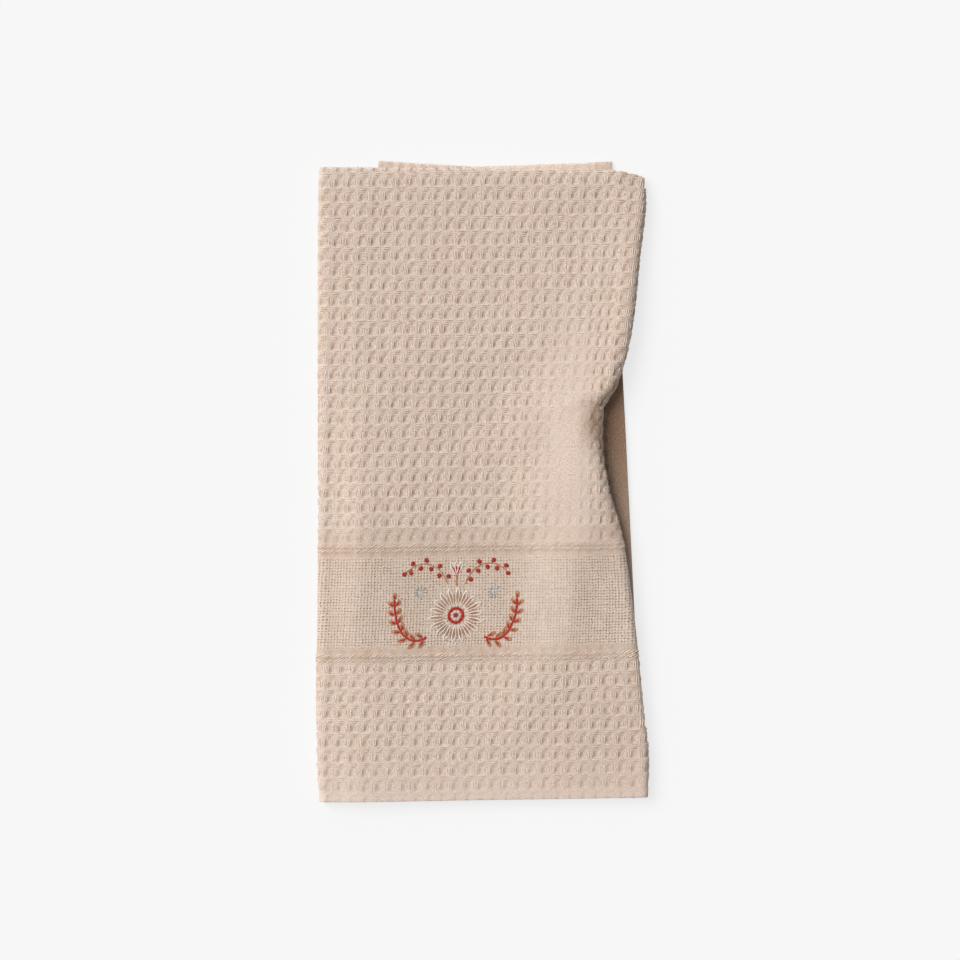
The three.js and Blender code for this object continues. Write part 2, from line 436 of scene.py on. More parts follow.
def write_floats(mesh: bpy.types.Mesh, fields: dict[str, np.ndarray]) -> None:
    """Stores each row of values as a float attribute of the mesh's points."""
    for label, values in fields.items():
        mesh.attributes.new(label, "FLOAT", "POINT").data.foreach_set("value", values.astype(np.float32))


class FoldLevel(NamedTuple):
    """The folds at one distance down from the top fold, in millimetres.

    left and right are where the upright folds reach to, and bend is the right fold's radius. inner_edge
    and outer_edge are the free edges of the flaps. swell, trough and ridge are lifts of the front panel,
    the last two at trough_at and ridge_at. drift is how far the cloth has crept round the left fold, and
    spread its stretch across.
    """

    down: float
    left: float
    right: float
    bend: float
    inner_edge: float
    outer_edge: float
    swell: float
    trough_at: float
    trough: float
    ridge_at: float
    ridge: float
    drift: float
    spread: float


LEVELS = (
    FoldLevel(0, -91.0, 90.0, 2.8, -58, 72.1, 0.8, 55, 1.6, 76, 1.0, 0.0, 1.0),
    FoldLevel(12, -91.3, 90.8, 3.8, -58, 72.4, 0.8, 56, 1.4, 76, 1.4, 0.2, 1.0),
    FoldLevel(45, -91.5, 87.5, 4.4, -57, 74.3, 1.0, 50, 0.8, 72, 2.4, 0.8, 1.0),
    FoldLevel(90, -91.6, 82.4, 5.0, -56, 76.5, 1.8, 20, 1.2, 68, 4.9, 1.6, 1.0),
    FoldLevel(118, -91.6, 74.6, 5.9, -55, 77.9, 2.6, 8, 0.7, 62, 7.4, 2.6, 1.0),
    FoldLevel(134, -91.6, 66.3, 6.4, -55, 78.7, 3.2, 2, 0.5, 57.5, 8.8, 3.2, 1.0),
    FoldLevel(150, -91.6, 66.0, 6.3, -54, 79.5, 4.0, 0, 0.6, 57, 8.4, 4.0, 1.0),
    FoldLevel(175, -91.6, 69.6, 5.6, -54, 80.7, 5.2, 6, 0.8, 57, 7.4, 5.2, 1.0),
    FoldLevel(205, -91.6, 77.7, 4.4, -53, 82.2, 5.8, 14, 0.8, 56, 6.4, 6.6, 1.0),
    FoldLevel(245, -91.9, 83.6, 3.4, -52, 84.2, 4.2, 16, 0.7, 50, 4.4, 8.4, 1.015),
    FoldLevel(295, -92.6, 88.7, 2.8, -50, 86.7, 2.6, -6, 1.4, 26, 2.2, 10.6, 1.03),
    FoldLevel(330, -92.2, 92.3, 2.5, -48, 88.4, 2.4, -4, 1.0, 20, 1.0, 12.2, 1.03),
    FoldLevel(350, -91.0, 91.8, 2.4, -48, 89.4, 2.2, -4, 0.7, 20, 0.5, 13.0, 1.03),
)


@dataclass(frozen=True)
class Crease:
    """A soft trough or ridge in the front panel, in millimetres of cloth."""

    across: float
    down: float
    length: float
    width: float
    turn: float
    lift: float

    def lifts(self, across: np.ndarray, down: np.ndarray) -> np.ndarray:
        """Works out the crease's height.

        Args:
            across: Distance across the cloth.
            down: Distance down the cloth.

        Returns:
            How much it lifts each place.
        """
        turn = math.radians(self.turn)
        right, below = across - self.across, down - self.down
        along = (right * math.cos(turn) + below * math.sin(turn)) / self.length
        beside = (below * math.cos(turn) - right * math.sin(turn)) / self.width
        return self.lift * np.exp(-(along**2) - beside**2)


CREASES = (
    Crease(across=150, down=134.5, length=9, width=2.2, turn=-14, lift=-1.0),
    Crease(across=146, down=129, length=12, width=4.0, turn=-24, lift=0.7),
    Crease(across=128, down=150, length=16, width=5.0, turn=66, lift=-0.5),
    Crease(across=142, down=252, length=34, width=5.0, turn=97, lift=0.6),
)


@dataclass(frozen=True)
class Pull:
    """A place where the cloth's weave is dragged sideways, in millimetres of cloth."""

    across: float
    down: float
    reach_left: float
    reach_right: float
    reach_down: float
    by_across: float = 0.0
    by_down: float = 0.0

    def share(self, across: np.ndarray, down: np.ndarray) -> np.ndarray:
        """Works out the pull's reach.

        Args:
            across: Distance across the cloth.
            down: Distance down the cloth.

        Returns:
            How much of the pull each place feels.
        """
        right = across - self.across
        right = right / np.where(right < 0, self.reach_left, self.reach_right)
        below = (down - self.down) / self.reach_down
        return np.exp(-(right**2) - below**2)


PULLS = (
    Pull(across=172, down=130, reach_left=20, reach_right=60, reach_down=95, by_across=-8.6),
    Pull(across=145, down=135, reach_left=34, reach_right=28, reach_down=35, by_across=-1.7),
    Pull(across=165, down=272, reach_left=42, reach_right=60, reach_down=34, by_across=-3.4),
    Pull(across=20, down=215, reach_left=40, reach_right=64, reach_down=60, by_across=1.1),
    Pull(across=128, down=292, reach_left=26, reach_right=26, reach_down=14, by_down=2.1),
)


@dataclass
class ClothFolds:
    """The folded cloth's shape: where each place on the flat cloth lies, in metres in the frame.

    A place is given in millimetres: across, to the right from the axis of the left fold, and down, from
    the top fold to the front hem, or below zero to the back hem. Sizes are in millimetres too.
    """

    sheet: float = 1.3
    air: float = 0.5
    half_length: float = 350.0
    outer_edge_across: float = -163.0
    inner_edge_across: float = 337.0
    top_left: float = 174.3
    top_right: float = 172.2
    hem_left: float = -177.7
    hem_right: float = -174.9
    free_corner: float = 178.2
    corner_drop: float = 2.7
    corner_span: float = 0.12
    corner_depth: float = 26.0
    overhang_clearance: float = 1.5
    overhang_slope: float = 0.28
    overhang_sag: float = 3.2
    ridge_clearance: float = 2.0
    swell_at: float = -66.0
    skew: float = 4.3
    front_width: float = 182.0
    across_step: float = 0.5
    down_step: float = 2.0
    front_samples: int = 240
    waves: int = 7
    wave_lift: float = 0.09
    rest: float = 0.3
    felt_step: float = 0.4
    shift: np.ndarray = field(default_factory=lambda: np.zeros(3))

    def __post_init__(self) -> None:
        """Works out the folded middle of the pair of sheets on a fine grid, and sits it in the frame."""
        self.pitch = self.sheet + self.air
        self.reach = self.sheet + self.air / 2
        self.outer_flap = self.reach
        self.inner_flap = self.outer_flap + 2 * self.pitch
        self.front = self.inner_flap + 2 * self.pitch
        self.left_bend = (self.front - self.outer_flap) / 2
        self.bend_way = math.pi / 2 * self.pitch / 2
        rng = np.random.default_rng(SEED)
        angles = rng.uniform(0, math.pi, self.waves)
        lengths = np.geomspace(19, 68, self.waves)
        self.wave_x = np.cos(angles) / lengths
        self.wave_y = np.sin(angles) / lengths
        self.wave_start = rng.uniform(0, 1, self.waves)
        self.acrosses = np.arange(self.outer_edge_across, self.inner_edge_across + self.across_step,
                                  self.across_step)
        self.downs = np.arange(0, self.half_length + self.down_step, self.down_step)
        self.downs = self.downs[self.downs <= self.half_length]
        middle = np.stack([self._section(down) for down in self.downs])
        along = np.gradient(middle, axis=1)
        fall = np.gradient(middle, axis=0)
        over = unit(np.cross(fall, along))
        up = unit(np.cross(over, along))
        self.table = np.concatenate([middle, over, up], axis=2)
        self._settle()

    def _settle(self) -> None:
        """Shifts the folds so that their box has the CAD cloth's middle and floor."""
        across, down = np.meshgrid(self.acrosses, np.linspace(-self.half_length, self.half_length, 701))
        faces = [self.place(across, down, side * self.sheet / 2, uneven=False) for side in (-1, 1)]
        points = np.concatenate([face.reshape(-1, 3) for face in faces])
        low, high = (np.array(corner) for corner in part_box(CLOTH_NODE))
        own_low, own_high = points.min(0), points.max(0)
        self.shift = (low + high) / 2 - (own_low + own_high) / 2
        self.shift[2] = low[2] - own_low[2]

    def _level(self, down: float) -> FoldLevel:
        """Looks up the fold table.

        Args:
            down: Distance down from the top fold.

        Returns:
            The table's values at that distance.
        """
        rows = np.array(LEVELS, float)
        at = np.array([down])
        return FoldLevel(*(gentle_curve(rows[:, 0], column, at)[0] for column in rows.T))._replace(down=down)

    def _inner_flap_z(self, level: FoldLevel, x: np.ndarray) -> np.ndarray:
        """Returns the height of the inner flap, which sags past the outer flap's edge."""
        past = np.maximum(0, x - level.outer_edge - self.overhang_clearance)
        return self.inner_flap - np.minimum(self.overhang_sag, past * self.overhang_slope)

    def _front_y(self, level: FoldLevel, x: np.ndarray) -> np.ndarray:
        """Works out how far down the front panel lies.

        Args:
            level: The folds at one distance down.
            x: Places across the towel.

        Returns:
            Y at each of them.
        """
        share = (x - level.left) / (level.right - level.left)
        in_corner = ease(1 - (1 - share) / self.corner_span, 0, 1)
        drop = self.corner_drop * in_corner * (1 - ease(np.array(level.down / self.corner_depth), 0, 1))
        top = mix(self.top_left, self.top_right, share) - self.reach - drop
        return mix(top, mix(self.hem_left, self.hem_right, share), level.down / self.half_length)

    def _flap_y(self, level: FoldLevel, fold_y: float, share: np.ndarray) -> np.ndarray:
        """Returns Y on a flap, a share of the way from its fold to its free edge."""
        return mix(fold_y, self.free_corner - self.reach - level.down, share)

    def _section(self, down: float) -> np.ndarray:
        """Works out the middle of the pair right across the towel.

        Args:
            down: The distance down from the top fold.

        Returns:
            The point at each of the acrosses.
        """
        level = self._level(down)
        right_axis = level.right - level.bend - self.reach
        left_axis = level.left + self.left_bend + self.reach
        foot = float(self._inner_flap_z(level, np.array(right_axis)))
        ridge_at = min(level.ridge_at, right_axis - self.ridge_clearance)
        places = np.array([left_axis, self.swell_at, level.trough_at, ridge_at, right_axis])
        lifts = np.array([0, level.swell, level.trough, level.ridge, foot + 2 * level.bend - self.front])
        xs = np.linspace(left_axis, right_axis, self.front_samples)
        zs = self.front + gentle_curve(places, lifts, xs)
        arc = np.concatenate([[0], np.cumsum(np.hypot(np.diff(xs), np.diff(zs)))])

        way = (self.acrosses - level.drift) * level.spread
        left_way, right_way = -math.pi * self.left_bend, arc[-1] + math.pi * level.bend
        x = np.interp(way, arc, xs)
        z = np.interp(way, arc, zs)
        y = self._front_y(level, x)

        on_left = (way < 0) & (way >= left_way)
        angle = math.pi / 2 - way[on_left] / self.left_bend
        x[on_left] = left_axis + self.left_bend * np.cos(angle)
        z[on_left] = self.outer_flap + self.left_bend * (1 + np.sin(angle))
        left_y = float(self._front_y(level, np.array(level.left)))
        y[on_left] = left_y

        on_outer = way < left_way
        share = (left_way - way[on_outer]) / (left_way - way[0])
        x[on_outer] = mix(left_axis, level.outer_edge, share)
        z[on_outer] = self.outer_flap
        y[on_outer] = self._flap_y(level, left_y, share**2)

        on_right = (way > arc[-1]) & (way <= right_way)
        angle = math.pi / 2 - (way[on_right] - arc[-1]) / level.bend
        x[on_right] = right_axis + level.bend * np.cos(angle)
        z[on_right] = foot + level.bend * (1 + np.sin(angle))
        right_y = float(self._front_y(level, np.array(level.right)))
        y[on_right] = right_y

        on_inner = way > right_way
        share = (way[on_inner] - right_way) / (way[-1] - right_way)
        x[on_inner] = mix(right_axis, level.inner_edge, share)
        z[on_inner] = self._inner_flap_z(level, x[on_inner])
        y[on_inner] = self._flap_y(level, right_y, share)
        return np.stack([x, y, z], axis=1)

    def _look_up(self, across: np.ndarray, down: np.ndarray) -> np.ndarray:
        """Reads the folded middle between the grid's points.

        Args:
            across: Distance across the cloth.
            down: Distance down from the top fold.

        Returns:
            The middle and the over and up directions, nine numbers for each place.
        """
        column = (across - self.acrosses[0]) / self.across_step
        row = down / self.down_step
        j = np.clip(column.astype(int), 0, len(self.acrosses) - 2)
        i = np.clip(row.astype(int), 0, len(self.downs) - 2)
        right, below = (column - j)[..., None], (row - i)[..., None]
        above = mix(self.table[i, j], self.table[i, j + 1], right)
        return mix(above, mix(self.table[i + 1, j], self.table[i + 1, j + 1], right), below)

    def _unevenness(self, across: np.ndarray, down: np.ndarray) -> np.ndarray:
        """Works out the front panel's small waves and creases.

        Args:
            across: Distance across the cloth.
            down: Distance down the cloth.

        Returns:
            How far they lift each place.
        """
        lift = np.full(np.shape(across), self.rest)
        for x, y, start in zip(self.wave_x, self.wave_y, self.wave_start):
            lift = lift + self.wave_lift * np.sin(math.tau * (across * x + down * y + start))
        for crease in CREASES:
            lift = lift + crease.lifts(across, down)
        inside = ease(across, 8, 20) * (1 - ease(across, 150, 168)) * ease(down, 5, 16)
        return lift * inside * (1 - ease(down, 340, 350) * 0.5)

    def place(self, across: np.ndarray, down: np.ndarray, lift: Any, uneven: bool = True) -> np.ndarray:
        """Finds where places on the cloth lie.

        Args:
            across: Distance to the right from the axis of the left fold.
            down: Distance down from the top fold, below zero on the back half.
            lift: Height over the sheet's middle, towards its face side.
            uneven: Whether the front panel has its small waves and creases.

        Returns:
            The points, in metres in the frame.
        """
        across, down = np.asarray(across, float), np.asarray(down, float)
        felt = [pull.share(across, down) for pull in PULLS]
        across = across + sum(share * pull.by_across for share, pull in zip(felt, PULLS))
        down = down + sum(share * pull.by_down for share, pull in zip(felt, PULLS))
        skew = self.skew * np.clip(across / self.front_width, 0, 1)
        past = down - skew
        fold_down = past / (1 - np.sign(past) * skew / self.half_length)
        turn = np.clip(fold_down / self.bend_way, -1, 1) * math.pi / 2
        level = np.maximum(np.abs(fold_down) - self.bend_way, 0)
        level = level * self.half_length / (self.half_length - self.bend_way)
        found = self._look_up(across, level)
        radius = self.pitch / 2 + lift
        if uneven:
            radius = radius + self._unevenness(across, down)
        over = found[..., 3:6] * (radius * np.sin(turn))[..., None]
        up = found[..., 6:9] * (radius * np.cos(turn))[..., None]
        return (found[..., :3] + over + up) * MM + self.shift

    def facing(self, across: np.ndarray, down: np.ndarray) -> np.ndarray:
        """Finds which way the cloth's face looks.

        Args:
            across: Distance across the cloth.
            down: Distance down the cloth.

        Returns:
            The direction out of it at each place.
        """
        half, step = self.sheet / 2, self.felt_step
        right = self.place(across + step, down, half) - self.place(across - step, down, half)
        below = self.place(across, down + step, half) - self.place(across, down - step, half)
        return unit(np.cross(below, right))


# --- Weave --------------------------------------------------------------------------------------


@dataclass(frozen=True)
class Patch:
    """A soft-edged patch of the cloth, in millimetres of cloth, and how strong it is in its middle."""

    across: float
    down: float
    reach_across: float
    reach_down: float
    strength: float

    def share(self, across: np.ndarray, down: np.ndarray) -> np.ndarray:
        """Returns how much of the patch each place has."""
        right, below = (across - self.across) / self.reach_across, (down - self.down) / self.reach_down
        return self.strength * np.exp(-(right**2) - below**2)


@dataclass(frozen=True)
class RollShade:
    """Painted shade along the right roll, where the front panel turns down, in millimetres of cloth."""

    across: float = 176.0
    inward: float = 21.5
    down: float = 138.0
    reach_above: float = 17.0
    reach_below: float = 36.0
    set_in: float = 4.4
    width_left: float = 3.0
    width_right: float = 6.5
    strength: float = 0.46

    def share(self, across: np.ndarray, down: np.ndarray) -> np.ndarray:
        """Works out the painted shade along the roll.

        Args:
            across: Distance across the cloth.
            down: Distance down the cloth.

        Returns:
            How dark each place is.
        """
        below = (down - self.down) / np.where(down < self.down, self.reach_above, self.reach_below)
        bow = np.exp(-(below**2))
        beside = across - self.across + self.inward * bow - self.set_in
        beside = beside / np.where(beside < 0, self.width_left, self.width_right)
        return self.strength * np.sqrt(bow) * np.exp(-(beside**2))


SMOOTH_PATCHES = (
    Patch(across=142, down=158, reach_across=18, reach_down=56, strength=0.88),
    Patch(across=150, down=206, reach_across=22, reach_down=12, strength=0.2),
    Patch(across=169, down=150, reach_across=11, reach_down=48, strength=-0.5),
    Patch(across=90, down=352, reach_across=400, reach_down=20, strength=0.42),
)
# Painted shade, kept in the shade attribute and multiplied into the colour of the cloth and its yarns.
PAINTED_SHADE_PATCHES = (
    # On the inner flap's strip, in the shadow of the tall right fold.
    Patch(across=-159, down=-142, reach_across=17, reach_down=50, strength=0.72),
    Patch(across=-160, down=-205, reach_across=26, reach_down=40, strength=0.25),
    # Along the right roll, where the front panel turns down.
    RollShade(),
    Patch(across=154, down=144, reach_across=5.0, reach_down=13, strength=0.36),
    # Along the right edge, lower down and near the top.
    Patch(across=172, down=185, reach_across=8, reach_down=26, strength=0.15),
    Patch(across=190, down=50, reach_across=12, reach_down=90, strength=0.2),
    # Faintly darker towards the lower right.
    Patch(across=168, down=315, reach_across=42, reach_down=42, strength=0.08),
)


@dataclass(frozen=True)
class WaffleWeave:
    """The cells, the plain band and the hems of the cloth, in millimetres."""

    rib_at: float = 2.8
    cell_width: float = 6.88
    first_rib: float = 3.925
    cell_height: float = 8.15
    left_wall: tuple[float, float] = (0.28, 0.45)
    right_wall: tuple[float, float] = (0.47, 0.96)
    upper_step: tuple[float, float] = (0.14, 0.32)
    upper_slope: tuple[float, float] = (0.42, 0.76)
    upper_share: float = 0.45
    upper_lean: float = 0.28
    left_lean: float = 0.14
    lower_wall: tuple[float, float] = (0.87, 1.0)
    # Where the painted shade in each cell's left corner sits, how wide it is and how it leans.
    shade_at: float = 0.36
    shade_reach: float = 0.15
    shade_lean: float = 0.20
    slip: float = 1.1
    last_rib: float = 199.525
    half_row_rise: float = 0.2
    low_first_rib: float = 271.75
    low_cell_height: float = 8.11
    upper_cells: int = 24
    lower_cells: int = 9
    band_top: float = 208.1
    band_bottom: float = 273.2
    cord_lines: tuple[float, float] = (210.5, 270.7)
    cord_half: float = 2.3
    grid_top: float = 215.9
    grid_bottom: float = 264.8
    grid_fray: float = 6.0
    closed_at: float = 129.0
    closed_reach: float = 15.0
    thread_across: float = 1.71
    thread_down: float = 1.57
    hem: float = 8.6
    outer_edge: float = -163.0
    inner_edge: float = 337.0

    @property
    def band_middle(self) -> float:
        """The middle of the plain band."""
        return (self.band_top + self.band_bottom) / 2

    def rib_downs(self) -> np.ndarray:
        """Finds the ribs between the rows of cells.

        Returns:
            Their middle lines, from the top fold down.
        """
        upper = self.first_rib + self.cell_height * np.arange(-1, self.upper_cells + 1)
        lower = self.low_first_rib + self.low_cell_height * np.arange(self.lower_cells + 1)
        return np.concatenate([upper, lower])

    @staticmethod
    def fields(across: np.ndarray, down: np.ndarray) -> dict[str, np.ndarray]:
        """Works out how the weave changes over the cloth.

        Args:
            across: Distances across the cloth.
            down: Distances down the cloth.

        Returns:
            At each place: the relief, or how much of the cells' depth is real shape, the slack, or how
            strong the cells are, and the painted shade where the cloth turns under or lies in a fold's
            shadow.
        """
        fine = ease(across, -12, -8) * (1 - ease(across, 196, 200)) * ease(down, -16, -13)
        flat_fold = 0.5 + 0.5 * ease(np.abs(down - 2), 3, 9)
        hem = 1 - 0.6 * ease(down, 343, 349)
        smooth = sum(patch.share(across, down) for patch in SMOOTH_PATCHES)
        dark = sum(patch.share(across, down) for patch in PAINTED_SHADE_PATCHES)
        return {"relief": fine * flat_fold * hem, "slack": 1 - np.minimum(smooth, 0.9), "shade": dark}

    def in_waffle(self, spot: Spot) -> Signal:
        """Tells the cells from the rest of the cloth.

        Args:
            spot: The place on the cloth.

        Returns:
            1 where the cloth has cells, and 0 in the band and the side hems.
        """
        across, down = spot.across, spot.down
        band = down.ramp(self.band_top - 0.9, self.band_top + 0.5)
        band = band * (1 - down.ramp(self.band_bottom - 0.5, self.band_bottom + 0.5))
        left = across.ramp(self.outer_edge + self.hem, self.outer_edge + self.hem + 1.2)
        right = 1 - across.ramp(self.inner_edge - self.hem - 1.2, self.inner_edge - self.hem)
        return (1 - band) * left * right

    def _cell(self, spot: Spot) -> tuple[Signal, Signal, Signal]:
        """Finds where in its cell a place is.

        Args:
            spot: The place on the cloth.

        Returns:
            The shares of the way across and down the cell, and the cell's own strength.
        """
        graph, across, down = spot.graph, spot.across, spot.down
        loose = spot.noise(0.11, 0.11, detail=1.0)
        tight = graph.noise(graph.vector(down, across, 40.0), 0.13, 1.0)
        column = (across - self.rib_at + (loose - 0.5) * self.slip) / self.cell_width
        upper = (down - self.first_rib + (tight - 0.5) * self.slip) / self.cell_height
        lower = (down - self.low_first_rib + (tight - 0.5) * self.slip) / self.low_cell_height
        row = upper + (lower - upper) * down.above(self.band_middle)
        own = graph.dice(graph.vector(column.whole(), row.whole())) * 0.34 + 0.83
        shallow = down.ramp(self.last_rib - 0.8, self.last_rib + 0.8)
        shallow = shallow * (1 - down.ramp(self.band_bottom - 1, self.band_bottom))
        own = own * (1 - shallow * self.half_row_rise) * graph.attribute("slack")
        return column.fraction(), row.fraction(), own * self.in_waffle(spot)

    def pits(self, spot: Spot) -> Signal:
        """Works out the depth of the cells.

        Args:
            spot: The place on the cloth.

        Returns:
            0 on the ribs and about 1 on the floors of the cells.
        """
        east, south, own = self._cell(spot)
        left = (east + (south - 0.6) * self.left_lean).ramp(*self.left_wall)
        under = south + (east - 0.5) * self.upper_lean
        upper = under.ramp(*self.upper_step) * self.upper_share
        upper = upper + under.ramp(*self.upper_slope) * (1 - self.upper_share)
        return left * (1 - east.ramp(*self.right_wall)) * upper * (1 - south.ramp(*self.lower_wall)) * own

    def painted_cell_shade(self, spot: Spot) -> tuple[Signal, Signal]:
        """Finds the painted shade in the cells: the left corner in the left rib's shadow, and the upper
        slope.

        Args:
            spot: The place on the cloth.

        Returns:
            The strength of the painted shade in the left corner, and on the slope above it.
        """
        east, south, own = self._cell(spot)
        aside = (east - self.shade_at + (south - 0.66) * self.shade_lean).size()
        corner = (1 - aside.ramp(0.02, self.shade_reach)) * south.ramp(0.36, 0.60)
        corner = corner * (1 - south.ramp(0.80, 0.96))
        under = south + (east - 0.5) * self.upper_lean
        slope = under.ramp(0.06, 0.20) * (1 - under.ramp(0.28, 0.46))
        slope = slope * east.ramp(0.28, 0.48) * (1 - east.ramp(0.72, 0.95))
        return corner * own, slope * own


class Band:
    """The signals of the band's pattern: an open grid of threads, with a smooth strip on either side."""

    def __init__(self, spot: Spot, weave: WaffleWeave) -> None:
        """Works out the threads, each a little out of line, and the parts of the band.

        Args:
            spot: The place on the cloth.
            weave: The weave that the band is in.
        """
        across, down = spot.across, spot.down
        self.spot, self.weave = spot, weave
        self.slip = spot.noise(0.12, 0.5, 3.0) - 0.5
        self.column = across / weave.thread_across + self.slip * 0.9
        self.row = down / weave.thread_down + (spot.noise(0.5, 0.12, 9.0) - 0.5) * 0.9
        self.beside = ((self.column.fraction() - 0.5) * 2).size()
        self.along = ((self.row.fraction() - 0.5) * 2).size()
        rough = down + (spot.noise(0.45, 0.45, detail=1.0) - 0.5) * weave.grid_fray
        grid = rough.ramp(weave.grid_top - 2.0, weave.grid_top + 1.4)
        self.grid = grid * (1 - rough.ramp(weave.grid_bottom - 1.4, weave.grid_bottom + 2.0))
        self.strips = (1 - weave.in_waffle(spot)) * (1 - self.grid)
        self.loose = spot.noise(0.07, 0.07, detail=1.0).ramp(0.3, 0.6, 0.7, 1.0)
        self.closed = 1 - ((across - weave.closed_at) / weave.closed_reach).size().ramp(-0.4, 1.7)
        self.even = (1 - self.closed * 0.7) * across.ramp(150, 170, 1.0, 0.55)
        self.cord = self.edge = 0.0
        for line in weave.cord_lines:
            apart = ((down - line) / weave.cord_half).size()
            self.cord = 1 - apart.ramp(0.7, 1.1) + self.cord
            self.edge = 1 - apart.ramp(1.5, 2.3) + self.edge

    def _dice(self, column: Signal, row: Signal, layer: float) -> Signal:
        """Returns a random number for each whole column and row."""
        return self.spot.graph.dice(self.spot.graph.vector(column.whole(), row.whole(), layer))

    def holes(self) -> Signal:
        """Works out the gaps between the threads.

        Returns:
            How open each of them is.
        """
        own = self._dice(self.column + 0.5, self.row + 0.5, 5.0) * 0.9 + 0.16
        holes = self.beside.ramp(0.34, 0.80) * self.along.ramp(0.34, 0.80) * self.grid * own
        wide = self.spot.across.ramp(145, 165, 1.2, 1.35)
        return (holes * self.loose * (1 - self.closed * 0.7) * wide).smaller(1.0)

    def seams(self) -> Signal:
        """Works out the lines between two threads, which are uneven from one to the next.

        Returns:
            How dark they are.
        """
        upright = self._dice(self.column + 0.5, self.row * 0.11, 6.0)
        level = self._dice(self.column * 0.08, self.row + 0.5, 7.0)
        seams = self.beside.ramp(0.5, 0.95) * upright * upright + self.along.ramp(0.5, 0.95) * level * level
        return seams * self.grid * self.loose * (1 - self.closed * 0.6)

    def thick(self) -> Signal:
        """Returns how thick the threads are."""
        upright = self._dice(self.column, self.row * 0.23, 1.0)
        return upright * 0.5 + self._dice(self.column * 0.19, self.row, 2.0) * 0.5

    def marks(self) -> Signal:
        """Works out the strips' upright marks, one under each column of cells and some between, stronger
        beside the cords as painted shade.

        Returns:
            How dark they are.
        """
        weave, spot = self.weave, self.spot
        share = ((spot.across - weave.rib_at + self.slip * 6.0) / weave.cell_width).fraction()
        marks = (1 - ((share - 0.3) * 2).size().ramp(0.0, 0.7)) * self.loose
        lines = spot.noise(1.3, 0.12, 30.0).ramp(0.35, 0.6)
        # The marks are a woven pattern; edge makes them stronger beside the cords, which is painted shade of
        # the cords.
        return (marks * (self.edge * 0.4 + 0.2) + lines * 0.25) * self.strips

    def quiet(self) -> Signal:
        """Finds the strips and the shallow row of cells above them.

        Returns:
            1 where they are.
        """
        down, weave = self.spot.down, self.weave
        quiet = down.ramp(weave.last_rib - 1, weave.last_rib + 1)
        return quiet * (1 - down.ramp(weave.band_bottom - 0.7, weave.band_bottom + 0.8)) * (1 - self.grid)


# --- Finishes -----------------------------------------------------------------------------------


def srgb(red: int, green: int, blue: int) -> Colour:
    """Turns a colour in display values into a linear one.

    Args:
        red: Red, from 0 to 255.
        green: Green.
        blue: Blue.

    Returns:
        The colour, with alpha.
    """
    def linear(value: int) -> float:
        """Returns one channel in linear light."""
        share = value / 255
        return share / 12.92 if share <= 0.04045 else ((share + 0.055) / 1.055) ** 2.4

    return (linear(red), linear(green), linear(blue), 1.0)


